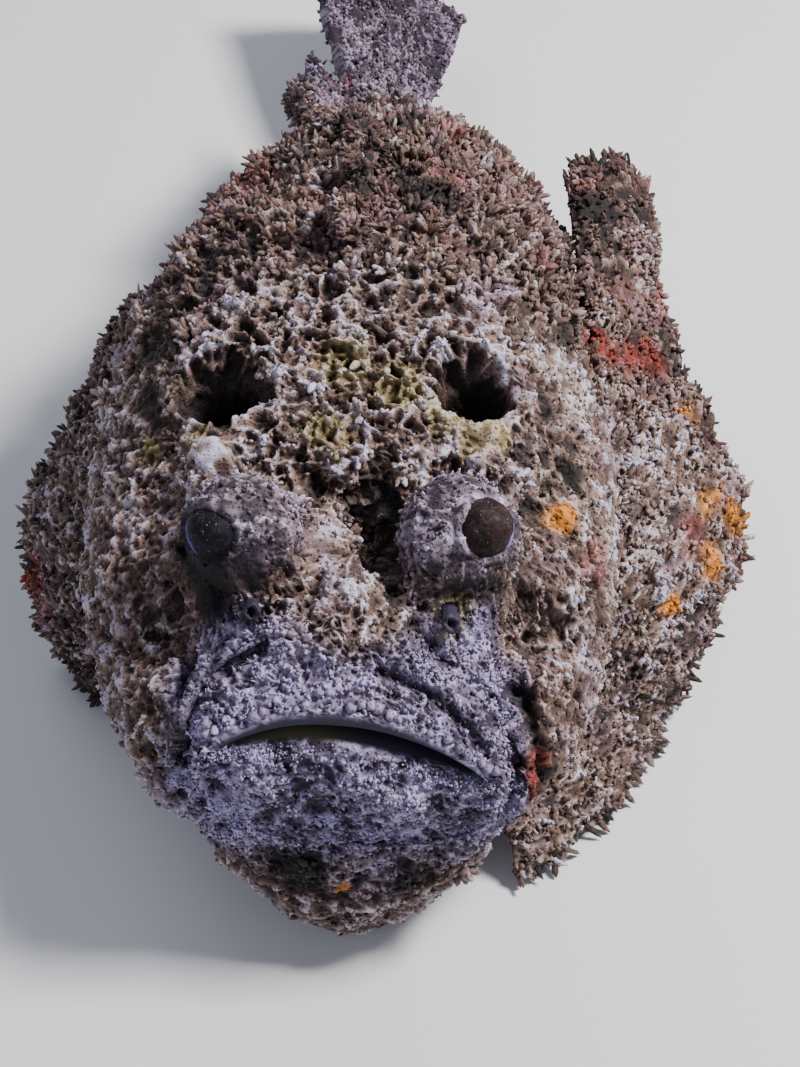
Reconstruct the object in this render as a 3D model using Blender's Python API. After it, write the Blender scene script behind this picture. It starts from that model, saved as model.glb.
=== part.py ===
"""A resting reef stonefish, life size, as a still museum model.

Metres, +Z up. The fish faces -Y and its left side is +X. The origin is on the floor under the belly.
Shape sizes are written in millimetres and scaled by MM when meshes are made.
"""

import math

import bpy
import bmesh
import numpy as np
from mathutils import Vector

MM = 0.001

# Driving sizes, in millimetres
BODY_LENGTH = 282.0  # lips to the root of the tail fin
BODY_DEPTH = 118.0  # floor to the highest point of the back
HEAD_HALF_WIDTH = 68.0
BELLY_ORIGIN = 100.0  # how far the origin lies behind the lips
SEAM = 0.3  # gap between touching nodes
AROUND = 54  # points round each body ring
SEED = 11

EYE_PLACE = (26.5, 38.0, 95.0)  # centre of the bony knob that carries the eye
EYE_RADIUS = 7.6
EYE_LOOK = (0.64, -0.42, 0.643)  # which way the left eye faces
EYE_SET = 6.5  # how far the eyeball sits out from the middle of its knob

# Rings of the body, from inside the mouth to the tail. Each is:
# top point (y, z), bottom point (y, z), half width, bottom squareness, droop of the sides, all in mm
RINGS = [
    ((14.0, 68.6), (14.0, 66.6), 19.0, 2.0, 7.0),
    ((3.0, 71.6), (3.0, 68.8), 26.0, 2.0, 7.5),
    ((-2.0, 74.4), (-3.5, 68.4), 31.0, 2.0, 8.0),
    ((3.0, 79.0), (-9.0, 61.0), 36.0, 2.0, 8.0),
    ((12.0, 83.0), (-12.0, 49.0), 41.0, 2.0, 6.0),
    ((24.0, 86.0), (-15.0, 33.0), 46.0, 2.0, 4.0),
    ((36.0, 88.0), (-18.0, 21.0), 52.0, 1.8, 2.0),
    ((50.0, 91.0), (-17.0, 9.0), 58.0, 1.6, 1.0),
    ((64.0, 96.0), (-10.0, 1.0), 63.0, 1.6, 0.0),
    ((80.0, 104.0), (12.0, -1.5), 67.0, 1.7, 0.0),
    ((96.0, 112.0), (44.0, -2.0), HEAD_HALF_WIDTH, 2.1, 0.0),
    ((112.0, 117.0), (80.0, -2.0), 67.0, 2.5, 0.0),
    ((131.0, BODY_DEPTH), (116.0, -2.0), 63.0, 2.8, 0.0),
    ((152.0, 113.0), (146.0, -2.0), 57.0, 2.7, 0.0),
    ((176.0, 102.0), (174.0, -2.0), 52.0, 2.6, 0.0),
    ((201.0, 87.0), (200.0, -1.0), 45.0, 2.4, 0.0),
    ((225.0, 71.0), (225.0, 3.0), 35.0, 2.2, 0.0),
    ((248.0, 56.0), (248.0, 8.0), 23.0, 2.0, 0.0),
    ((267.0, 47.0), (267.0, 12.0), 13.0, 2.0, 0.0),
    ((BODY_LENGTH, 45.0), (BODY_LENGTH, 13.0), 7.0, 2.0, 0.0),
]
HEAD_CUT = ((48.0, 0.0), (98.0, 112.0))  # the plane behind the gill covers, as two (y, z) points
TAIL_CUT = 224.0
ROLL_START, ROLL_END, TAIL_ROLL = 140.0, 275.0, math.radians(55.0)
BEND = 11.0  # how far the tail's root lies to the fish's left
BEND_START, BEND_END = 95.0, 215.0
MOUTH_TILT = 0.14  # how far the mouth drops towards the fish's left, per mm
MOUTH_REACH = (45.0, 30.0, 28.0)  # how far that tilt is felt round the middle of the mouth
THROAT_PINCH = 0.2  # how much narrower the head is low down than its rings


def spline(values, at):
    """A smooth curve through evenly spaced values, read at a float index or an array of them."""
    values = np.asarray(values, float)
    last = len(values) - 1
    at = np.clip(np.asarray(at, float), 0.0, last - 1e-9)
    i = at.astype(int)
    t = (at - i).reshape(at.shape + (1,) * (values.ndim - 1))
    p0 = values[np.maximum(i - 1, 0)]
    p1, p2 = values[i], values[i + 1]
    p3 = values[np.minimum(i + 2, last)]
    return 0.5 * (2 * p1 + (p2 - p0) * t + (2 * p0 - 5 * p1 + 4 * p2 - p3) * t**2
                  + (3 * p1 - p0 - 3 * p2 + p3) * t**3)


def smooth_step(value, low, high):
    t = np.clip((value - low) / (high - low), 0.0, 1.0)
    return t * t * (3 - 2 * t)


def turned(points):
    """Rolls and bends the rear of the body: its back leans to the fish's right and the tail to its left."""
    x, y, z = points[..., 0], points[..., 1], points[..., 2]
    roll = TAIL_ROLL * smooth_step(y, ROLL_START, ROLL_END)
    ends = np.array([(r[0][0], (r[0][1] + max(r[1][1], 0.0)) / 2) for r in RINGS[10:]])
    axis_z = np.interp(y, ends[:, 0], ends[:, 1])
    h = z - axis_z
    new_x = x * np.cos(roll) - h * np.sin(roll)
    new_z = axis_z + x * np.sin(roll) + h * np.cos(roll)
    return np.stack([new_x + BEND * smooth_step(y, BEND_START, BEND_END), y, new_z], axis=-1)


def ring_point(station, angle):
    """The smooth body at a float ring number and an angle, 90 degrees being the back and -90 the belly."""
    station, angle = np.broadcast_arrays(np.asarray(station, float), np.asarray(angle, float))
    top = spline([r[0] for r in RINGS], station)
    bottom = spline([r[1] for r in RINGS], station)
    half = spline([r[2] for r in RINGS], station)
    low_power = spline([r[3] for r in RINGS], station)
    droop = spline([r[4] for r in RINGS], station)
    c, s = np.cos(angle), np.sin(angle)
    power = np.where(s >= 0, 2.0, low_power)
    reach = (np.abs(c) ** power + np.abs(s) ** power) ** (-1.0 / power)
    width_at = np.where(s >= 0, 0.52, 0.48) * s * reach
    up = top - bottom
    share = 0.48 + width_at
    flat = bottom + up * share[..., None]
    length = np.linalg.norm(up, axis=-1)
    drop = droop * (reach * c) ** 2 + 0.05 * half * reach * c * (droop > 5)
    flat = flat - up / length[..., None] * drop[..., None]
    return np.stack([half * reach * c, flat[..., 0], flat[..., 1]], axis=-1)


def bump(points, centre, radii, power=1.0):
    """1 at the centre of an ellipsoid of those radii, falling smoothly to 0 at about 1.6 radii."""
    d = (points - np.asarray(centre, float)) / np.asarray(radii, float)
    return np.exp(-np.power((d**2).sum(-1), power))


def relief(points, normals):
    """The knobs, pits and folds of the head: how far each point of the smooth body moves, as vectors."""
    x, y, z = points[..., 0], points[..., 1], points[..., 2]
    moved = np.zeros_like(points)
    front = smooth_step(z, 30.0, 60.0)
    low = (1 - smooth_step(z, 15.0, 60.0)) * (1 - smooth_step(y, 30.0, 80.0))
    moved[..., 0] -= THROAT_PINCH * x * low
    tilt = bump(points, (0.0, -2.0, 68.0), MOUTH_REACH)
    moved += (MOUTH_TILT * x * tilt)[..., None] * np.array([0.0, -0.25, -1.0])
    for side in (-1.0, 1.0):
        knob = bump(points, (side * 26, 40, 84), (16.5, 14.5, 19), 2.2) * front
        moved += knob[..., None] * np.array([side * 2.5, -3.5, 18.0])
        pit = bump(points, (side * 29, 80, 92), (10.5, 7.5, 16), 2.0) * front
        moved += pit[..., None] * np.array([0.0, 2.0, -19.0])
        rim = bump(points, (side * 30, 81, 92), (18, 15, 22), 1.6) * front
        moved += rim[..., None] * np.array([0.0, 0.0, 5.0])
        knot = bump(points, (side * 35, 59, 88), (6.5, 6, 12), 1.6) * front
        moved += knot[..., None] * np.array([0.0, -1.0, 6.0])
        under = bump(points, (side * 45, 29, 66), (8, 9, 12), 1.6)
        moved -= under[..., None] * normals * 9.0
        cheek = bump(points, (side * 52, 52, 66), (12, 14, 16), 1.4)
        moved += cheek[..., None] * normals * 4.0
        fold = np.abs(np.abs(x) - (41 + 0.10 * (60 - z))) / 3.4
        near = smooth_step(z, 18, 34) * (1 - smooth_step(z, 72, 82)) * (y < 60) * (x * side > 0)
        moved -= (np.exp(-fold**2) * near)[..., None] * normals * 5.0
    between = bump(points, (3, 43, 88), (8.5, 11, 18), 1.8) * front
    moved += between[..., None] * np.array([0.0, 3.0, -14.0])
    brow = bump(points, (0, 66, 92), (22, 8, 20), 1.6) * front
    moved += brow[..., None] * np.array([0.0, 0.0, 4.0])
    snout = bump(points, (-2, 20, 82), (16, 11, 16), 1.4) * front
    moved += snout[..., None] * np.array([0.0, -2.0, 5.0])
    lip = np.exp(-((z - 76.5 + 0.011 * x**2) / 3.0) ** 2) * (y < 12) * (np.abs(x) < 40)
    moved += lip[..., None] * normals * 1.5
    return moved


def normals_of(grid):
    """Outward normals of a grid of points that runs along the body, then round it."""
    along = np.gradient(grid, axis=0)
    padded = np.concatenate([grid[:, -1:], grid, grid[:, :1]], axis=1)
    around = (padded[:, 2:] - padded[:, :-2]) / 2
    n = np.cross(along, around)
    return n / np.maximum(np.linalg.norm(n, axis=-1, keepdims=True), 1e-9)


def body_grid(stations, angles):
    """The finished body surface in mm on a grid of ring numbers and angles, with its normals."""
    s, a = np.meshgrid(stations, angles, indexing="ij")
    plain = ring_point(s, a)
    n = normals_of(plain)
    shaped = plain + relief(plain, n)
    shaped = turned(shaped)
    return shaped, normals_of(shaped)


STATIONS = np.concatenate([
    np.linspace(0.0, 3.0, 6), np.linspace(3.4, 10.4, 20), np.linspace(10.9, 16.0, 11), np.linspace(16.6, 19.0, 5)])
WART_COUNT = 74
WART_SPACING = 11.5
FIN_CLEARANCE = 12.5
BLOCK_SIDE = 200.0  # half the width of the blocks that share the body out between its nodes
MOUTH_FALL = 0.0095  # how fast the line of the mouth drops towards its corners, per mm squared
MOUTH_HEIGHT = 70.0
JAW_HALF_WIDTH = (38.0, 28.0)  # at the mouth and under the throat

# Pectoral fins: base from the throat up to the gill cover, rim from the floor round to the upper lobe
LEFT_BASE = [(26, 24, 7), (42, 44, 16), (58, 60, 36), (63, 78, 54), (61, 92, 70)]
RIGHT_BASE = [(26, 50, 6), (42, 55, 16), (57, 63, 36), (63, 78, 54), (61, 92, 70)]
LEFT_RIM = [(43, 2, 3), (61, 17, 3), (76, 36, 3), (84, 52, 4), (94, 66, 12), (100, 78, 20), (107, 93, 35),
            (101, 114, 47), (92, 135, 54), (87, 160, 59), (86, 184, 63), (84, 202, 69), (72, 207, 71), (62, 199, 70)]
RIGHT_RIM = [(46, 40, 3), (58, 51, 3), (70, 63, 3), (79, 75, 4), (85, 82, 13), (88, 92, 22), (87, 102, 36),
             (80, 113, 44), (73, 126, 51), (67, 141, 54), (62, 153, 57), (58, 160, 59)]
PECTORAL_RAYS = 13
PELVIC_BASE = [(25, 46, 4), (28, 56, 4), (30, 66, 4), (31, 76, 4)]
PELVIC_RIM = [(45, 54, 2), (53, 68, 2), (57, 84, 2), (56, 100, 2), (50, 113, 2), (41, 120, 2), (33, 116, 2)]

SPINY_REACH = (101.0, 201.0)
SOFT_REACH = (209.0, 270.0)
ANAL_REACH = (206.0, 252.0)
SPINE_LEAN = math.radians(54.0)
SPINE_HEIGHTS = [14, 17, 19, 18, 18, 17, 17, 16, 16, 15, 14, 13, 12]
SOFT_HEIGHTS = [20, 23, 25, 26, 26, 25, 23]
ANAL_HEIGHTS = [9, 11, 13, 15, 16, 16, 14, 11]
TAIL_ROOT, TAIL_REACH = 280.0, 80.0
TAIL_ROOT_HALF, TAIL_SPREAD = 13.0, 19.0
FAN_ROLL = math.radians(62.0)


def material(name, colour, roughness):
    made = bpy.data.materials.get(name)
    if made:
        return made
    made = bpy.data.materials.new(name)
    made.use_nodes = True
    shader = made.node_tree.nodes["Principled BSDF"]
    shader.inputs["Base Color"].default_value = (*colour, 1.0)
    shader.inputs["Roughness"].default_value = roughness
    shader.inputs["Metallic"].default_value = 0.0
    made.diffuse_color = (*colour, 1.0)
    return made


def mesh_object(name, points, faces):
    """A mesh object from points in mm, with its faces turned outwards."""
    place = (np.asarray(points, float) - (0.0, BELLY_ORIGIN, 0.0)) * MM
    mesh = bpy.data.meshes.new(name)
    mesh.from_pydata([tuple(p) for p in place], [], faces)
    made = bpy.data.objects.new(name, mesh)
    bpy.context.scene.collection.objects.link(made)
    bm = bmesh.new()
    bm.from_mesh(mesh)
    bmesh.ops.recalc_face_normals(bm, faces=bm.faces)
    if bm.calc_volume(signed=True) < 0:
        bmesh.ops.reverse_faces(bm, faces=bm.faces)
    bm.to_mesh(mesh)
    bm.free()
    return made


def loft(name, rows):
    """A closed solid through loops of points, split into triangles alike, with one face over each end."""
    rows = np.asarray(rows, float)
    count, around = rows.shape[:2]
    faces = []
    for i in range(count - 1):
        for j in range(around):
            k = (j + 1) % around
            a, b = i * around + j, i * around + k
            faces.append((a, b, b + around))
            faces.append((a, b + around, a + around))
    faces.append(tuple(range(around)))
    faces.append(tuple((count - 1) * around + j for j in range(around)))
    return mesh_object(name, rows.reshape(-1, 3), faces)


def keep_largest(obj):
    """Keeps the largest closed surface of a node and drops loose scraps and sealed hollows."""
    bm = bmesh.new()
    bm.from_mesh(obj.data)
    bmesh.ops.triangulate(bm, faces=bm.faces)
    bmesh.ops.remove_doubles(bm, verts=bm.verts, dist=1e-6)
    left = set(bm.faces)
    shells = []
    while left:
        shell, waiting = set(), [left.pop()]
        while waiting:
            face = waiting.pop()
            shell.add(face)
            for edge in face.edges:
                if len(edge.link_faces) != 2:
                    continue
                for other in edge.link_faces:
                    if other in left:
                        left.remove(other)
                        waiting.append(other)
        volume = abs(sum(f.verts[0].co.dot(f.verts[1].co.cross(f.verts[2].co)) for f in shell))
        shells.append((volume, shell))
    shells.sort(key=lambda pair: pair[0])
    for _, shell in shells[:-1]:
        bmesh.ops.delete(bm, geom=list(shell), context="FACES")
    bm.to_mesh(obj.data)
    bm.free()


def combine(obj, others, operation):
    """One Boolean of obj with a collection of closed mesh objects, applied. The objects are then removed."""
    group = bpy.data.collections.new("pieces")
    bpy.context.scene.collection.children.link(group)
    for other in others:
        bpy.context.scene.collection.objects.unlink(other)
        group.objects.link(other)
    modifier = obj.modifiers.new("combine", "BOOLEAN")
    modifier.operation = operation
    modifier.operand_type = "COLLECTION"
    modifier.collection = group
    bpy.context.view_layer.update()
    shaped = bpy.data.meshes.new_from_object(obj.evaluated_get(bpy.context.evaluated_depsgraph_get()))
    obj.modifiers.clear()
    obj.data = shaped
    for other in others:
        bpy.data.objects.remove(other)
    bpy.data.collections.remove(group)
    keep_largest(obj)
    return obj


def copy_of(obj, name):
    made = obj.copy()
    made.data = obj.data.copy()
    made.name = name
    bpy.context.scene.collection.objects.link(made)
    return made


def wart(centre, direction, radius, height, sides=5, blunt=0.62, sink=3.0, flat=1.0, across=None):
    """A wart, flap or spike: a ring sunk in the skin, a narrower ring, and a tip."""
    centre, axis = Vector(centre), Vector(direction).normalized()
    first = Vector(across) if across is not None else axis.orthogonal()
    second = axis.cross(first).normalized()
    first = second.cross(axis)
    points = []
    for level, share in ((-sink, 1.0), (0.55 * height, blunt)):
        for k in range(sides):
            turn = 2 * math.pi * k / sides
            rim = first * math.cos(turn) + second * math.sin(turn) * flat
            points.append(tuple(centre + axis * level + rim * radius * share))
    points.append(tuple(centre + axis * height))
    faces = [tuple(range(sides))]
    for k in range(sides):
        n = (k + 1) % sides
        faces.append((k, n, sides + n, sides + k))
        faces.append((sides + k, sides + n, 2 * sides))
    return mesh_object("wart", points, faces)


def ring_tube(centre, axis, radius, thickness, around=11, sides=5):
    """A torus, for the lids round an eye."""
    centre, axis = Vector(centre), Vector(axis).normalized()
    first = axis.orthogonal().normalized()
    second = axis.cross(first)
    points, faces = [], []
    for i in range(around):
        turn = 2 * math.pi * i / around
        out = first * math.cos(turn) + second * math.sin(turn)
        for j in range(sides):
            roll = 2 * math.pi * j / sides
            points.append(tuple(centre + out * (radius + thickness * math.cos(roll))
                                + axis * thickness * math.sin(roll)))
            a, b = i * sides + j, i * sides + (j + 1) % sides
            c, d = (b + sides) % (around * sides), (a + sides) % (around * sides)
            faces.append((a, b, c, d))
    return mesh_object("lid", points, faces)


def ball(name, centre, axis, radius, around=12, rows=8):
    """A ball whose poles lie along an axis."""
    centre, axis = Vector(centre), Vector(axis).normalized()
    first = axis.orthogonal().normalized()
    second = axis.cross(first)
    loops = []
    for i in range(1, rows):
        tilt = math.pi * i / rows
        loops.append([tuple(centre + axis * radius * math.cos(tilt) + (first * math.cos(2 * math.pi * j / around)
                      + second * math.sin(2 * math.pi * j / around)) * radius * math.sin(tilt))
                      for j in range(around)])
    return loft(name, loops)


def prism(name, outline, half_width):
    """A block with the given outline in y and z, and flat sides at plus and minus half_width in x."""
    return loft(name, [[(x, y, z) for y, z in outline] for x in (-half_width, half_width)])


def fin_sheet(name, middle, half_thickness):
    """A closed sheet: a grid of points moved half a thickness to each side, split alike on both faces."""
    rows, columns = middle.shape[:2]
    normals = np.cross(np.gradient(middle, axis=0), np.gradient(middle, axis=1))
    normals /= np.maximum(np.linalg.norm(normals, axis=-1, keepdims=True), 1e-9)
    sides = [middle + normals * half_thickness[..., None], middle - normals * half_thickness[..., None]]
    points = np.concatenate([side.reshape(-1, 3) for side in sides])
    points[:, 2] = np.maximum(points[:, 2], 0.0)
    other = rows * columns
    faces = []
    for i in range(rows - 1):
        for j in range(columns - 1):
            a, b = i * columns + j, i * columns + j + 1
            c, d = b + columns, a + columns
            for near, far in (((a, b, c), 0), ((a, c, d), 0)):
                faces.append(near)
                faces.append(tuple(other + n for n in reversed(near)))
    border = [(0, j) for j in range(columns)] + [(i, columns - 1) for i in range(1, rows)]
    border += [(rows - 1, j) for j in range(columns - 2, -1, -1)] + [(i, 0) for i in range(rows - 2, 0, -1)]
    border = [i * columns + j for i, j in border]
    for a, b in zip(border, border[1:] + border[:1]):
        faces.append((b, a, other + a))
        faces.append((b, other + a, other + b))
    return mesh_object(name, points, faces)


def ring_angles():
    """Angles round the body, closer together over the back and face than under the belly."""
    turn = np.arange(AROUND) / AROUND * 2 * math.pi
    return turn + 0.28 * np.cos(turn)


def knobbly(points):
    """Seeded lumps of the skin, in mm: none inside the mouth, at the tail's end or near the floor."""
    raw = np.random.default_rng(SEED).random(points.shape[:2])
    lumps = np.where(raw > 0.75, (raw - 0.75) * 12.0, -0.6 * raw)
    rows = np.arange(points.shape[0])[:, None]
    calm = smooth_step(rows, 4, 9) * (1 - smooth_step(rows, points.shape[0] - 4, points.shape[0] - 1))
    return lumps * calm * smooth_step(points[..., 2], 3.0, 16.0)


def flesh(name, swell=0.0):
    """The whole body as one closed solid. A swell makes the slightly larger copy that trims the fins."""
    shaped, normals = body_grid(STATIONS, ring_angles())
    points = shaped + normals * (knobbly(shaped) + swell)[..., None]
    points[..., 2] = np.maximum(points[..., 2], -swell)
    return loft(name, points)


def surface_at(station, degrees):
    """A point of the smooth body and its outward normal, at a ring number and an angle."""
    step = 0.02
    points, normals = body_grid(np.array([station - step, station, station + step]),
                                np.radians(degrees) + np.array([-step, 0.0, step]))
    along = points[2, 1] - points[0, 1]
    across = points[1, 2] - points[1, 0]
    normal = np.cross(along, across)
    return points[1, 1], normal / np.linalg.norm(normal), along / np.linalg.norm(along)


def station_at(y_wanted, degrees):
    """The ring number at which the body, at that angle, is y_wanted from the lips."""
    stations = np.linspace(9.0, 18.9, 120)
    points, _ = body_grid(stations, np.radians(np.array([degrees - 1.0, degrees, degrees + 1.0])))
    return float(np.interp(y_wanted, points[:, 1, 1], stations))


def pectoral_grid(root, rim, side):
    """The middle surface and half thickness of a pectoral fin: thick rays, a fleshy scalloped rim."""
    turn = np.linspace(0.0, 1.0, 2 * PECTORAL_RAYS + 1)
    depth = np.array([0.0, 0.3, 0.65, 0.88, 1.0])
    base = spline(root, turn * (len(root) - 1))
    edge = spline(rim, turn * (len(rim) - 1))
    ridge = np.where(np.arange(len(turn)) % 2 == 1, 1.0, -1.0)
    reach = depth[:, None] * (1 + 0.035 * ridge[None, :] * depth[:, None] ** 3)
    middle = base[None] + (edge - base)[None] * reach[..., None]
    rise = 9.0 * np.sin(math.pi * np.clip(depth, 0, 1))[:, None] * (1 - 0.75 * turn)[None]
    middle[..., 0] += 0.35 * rise
    middle[..., 2] += rise + 0.5
    middle[..., 0] *= side
    fleshy = 0.4 + 0.6 * smooth_step(turn, 0.0, 0.25)  # the fin is thin at its front edge, under the throat
    thickness = (1.2 + 3.8 * (1 - depth)[:, None] * fleshy) + (0.25 + 0.35 * depth)[:, None] * ridge[None]
    return middle, thickness


def pelvic_grid(side):
    turn = np.linspace(0.0, 1.0, 13)
    depth = np.array([0.0, 0.35, 0.7, 1.0])
    base = spline(PELVIC_BASE, turn * (len(PELVIC_BASE) - 1))
    edge = spline(PELVIC_RIM, turn * (len(PELVIC_RIM) - 1))
    ridge = np.where(np.arange(len(turn)) % 2 == 1, 1.0, -1.0)
    reach = depth[:, None] * (1 + 0.05 * ridge[None] * depth[:, None] ** 3)
    middle = base[None] + (edge - base)[None] * reach[..., None]
    middle[..., 0] *= side
    thickness = np.broadcast_to((1.7 - 0.6 * depth)[:, None] + 0.25 * ridge[None], middle.shape[:2])
    return middle, thickness


def upright_grid(reach, degrees, heights, notch, lean, thick, zigzag=0.0, aside=(0.0, 0.0, 0.0)):
    """A fin along the back or the vent: one ridge for each height, lower between them, leaning back."""
    count = len(heights)
    depth = np.array([0.0, 0.4, 0.75, 1.0])
    middle = np.zeros((len(depth), 2 * count, 3))
    thickness = np.zeros((len(depth), 2 * count))
    for column in range(2 * count):
        share = column / (2 * count - 1)
        y = reach[0] + (reach[1] - reach[0]) * share
        point, normal, along = surface_at(station_at(y, degrees), degrees)
        is_ray = column % 2 == 0
        height = heights[column // 2] * (1.0 if is_ray else notch)
        way = normal * math.cos(lean) + along * math.sin(lean) + np.array(aside)
        way /= np.linalg.norm(way)
        sideways = zigzag * (1 if column % 4 == 0 else -1) * is_ray
        for row, d in enumerate(depth):
            middle[row, column] = point - normal * 5.0 + way * (height + 5.0) * d
            middle[row, column, 0] += sideways * d
            thickness[row, column] = (thick[0] + (thick[1] - thick[0]) * d) * (1.0 if is_ray else 0.55)
    middle[..., 2] = np.maximum(middle[..., 2], 1.2)
    return middle, np.maximum(thickness, 0.5)


def tail_grid():
    """The tail fin, spread as a fan and rolled over with the rear of the body."""
    turn = np.linspace(-1.0, 1.0, 25)
    depth = np.array([0.0, 0.33, 0.66, 0.9, 1.0])
    ridge = np.where(np.arange(len(turn)) % 2 == 0, 1.0, -1.0)
    middle = np.zeros((len(depth), len(turn), 3))
    for row, d in enumerate(depth):
        spread = turn * (TAIL_ROOT_HALF + TAIL_SPREAD * d ** 0.8) * (1 + 0.02 * ridge * d)
        middle[row, :, 0] = BEND + 1.5 * d - spread * math.sin(FAN_ROLL)
        middle[row, :, 1] = TAIL_ROOT + TAIL_REACH * d * (1 - 0.06 * turn**2) + 1.2 * ridge * d**3
        middle[row, :, 2] = 29.0 - 1.5 * d + spread * math.cos(FAN_ROLL)
    thickness = (3.0 - 2.1 * depth)[:, None] + (0.3 + 0.2 * depth)[:, None] * ridge[None]
    return middle, np.maximum(thickness, 0.6)


def jaw_block(name, grow):
    """The block that holds the lower jaw: up to the line of the mouth, back to the throat."""
    rows = []
    for share in np.linspace(-1.0, 1.0, 13):
        top_x = share * (JAW_HALF_WIDTH[0] + grow)
        low_x = share * (JAW_HALF_WIDTH[1] + grow)
        tilt = MOUTH_TILT * top_x * math.exp(-(top_x / MOUTH_REACH[0]) ** 2)
        mouth = MOUTH_HEIGHT - MOUTH_FALL * top_x**2 - tilt + grow
        rows.append([(top_x, -60.0, mouth + 8.0), (top_x, 0.0, mouth + 0.6), (top_x, 14.0 + grow, mouth - 2.4),
                     (low_x, 38.0 + grow, 18.0),
                     (low_x, 30.0 + grow, -10.0), (low_x, -60.0, -10.0)])
    return loft(name, rows)


def lay_warts(avoid):
    """Warts over the whole skin, seeded, kept apart and clear of the fins, the eyes and the mouth."""
    rng = np.random.default_rng(SEED + 1)
    placed, warts = [], []
    for _ in range(4000):
        if len(warts) == WART_COUNT:
            break
        station = rng.uniform(3.4, 17.8)
        degrees = rng.uniform(-62.0, 242.0)
        radius = rng.uniform(3.2, 5.6)
        height = radius * rng.uniform(0.9, 1.35)
        point, normal, _ = surface_at(station, degrees)
        near = [np.linalg.norm(p - point) for p in placed]
        if point[2] < 12.0 or (near and min(near) < WART_SPACING) or np.linalg.norm(avoid - point, axis=1).min() \
                < FIN_CLEARANCE:
            continue
        if station < 5.0 and degrees < 0:
            continue
        placed.append(point)
        warts.append(wart(point, normal + rng.normal(0, 0.12, 3), radius, height, sides=5))
    return warts


def mouth_fringe():
    """Knobs along the upper lip, threads along the lower lip and small flaps under the chin."""
    pieces = []
    rng = np.random.default_rng(SEED + 2)
    for degrees in np.linspace(24.0, 156.0, 12):
        point, normal, _ = surface_at(2.5, degrees)
        pieces.append(wart(point, normal + (0, -0.4, -0.2), rng.uniform(1.6, 2.3), rng.uniform(3.0, 5.0), blunt=0.8))
    for degrees in np.linspace(-30.0, -150.0, 12):
        point, normal, _ = surface_at(1.8, degrees)
        pieces.append(wart(point, normal + (0, -0.5, 0.5), 1.3, rng.uniform(3.0, 4.6), sides=4, blunt=0.55))
    for station, count in ((2.7, 5), (4.0, 5), (5.6, 5)):
        for degrees in np.linspace(-38.0, -142.0, count):
            point, normal, _ = surface_at(station, degrees + rng.uniform(-4, 4))
            pieces.append(wart(point, normal, rng.uniform(1.8, 2.8), rng.uniform(3.5, 6.0), sides=5, flat=0.6))
    for side in (-1.0, 1.0):
        point, normal, _ = surface_at(4.6, 90.0 - side * 33.0)
        pieces.append(wart(point, normal + (0, -0.6, 0.2), 2.6, 6.0, sides=6, blunt=0.85))
    return pieces


def eye_centre(side):
    look = np.array(EYE_LOOK) * (side, 1, 1)
    return np.array(EYE_PLACE) * (side, 1, 1) + look * EYE_SET, look


def rim_fringe(middle, size, step):
    """Fleshy points along a fin's edge, one at each ray."""
    pieces = []
    outward = middle[-1] - middle[-2]
    for column in range(1, middle.shape[1] - 1, step):
        way = outward[column] / np.linalg.norm(outward[column])
        way[2] = max(way[2], 0.05)
        pieces.append(wart(middle[-1, column] - way * 1.5, way, size, size * 2.6, sides=5, sink=2.0))
    return pieces


def finish(obj, name, look):
    obj.name = obj.data.name = name
    obj.data.materials.clear()
    colour, roughness = look
    obj.data.materials.append(material(name + "_skin" if name[:3] != "eye" else name, colour, roughness))
    for polygon in obj.data.polygons:
        polygon.use_smooth = False
    return obj


SKIN = ((0.42, 0.34, 0.30), 0.85)
FIN = ((0.45, 0.33, 0.28), 0.8)
LIP = ((0.47, 0.44, 0.55), 0.75)
EYE = ((0.06, 0.04, 0.04), 0.25)


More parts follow.
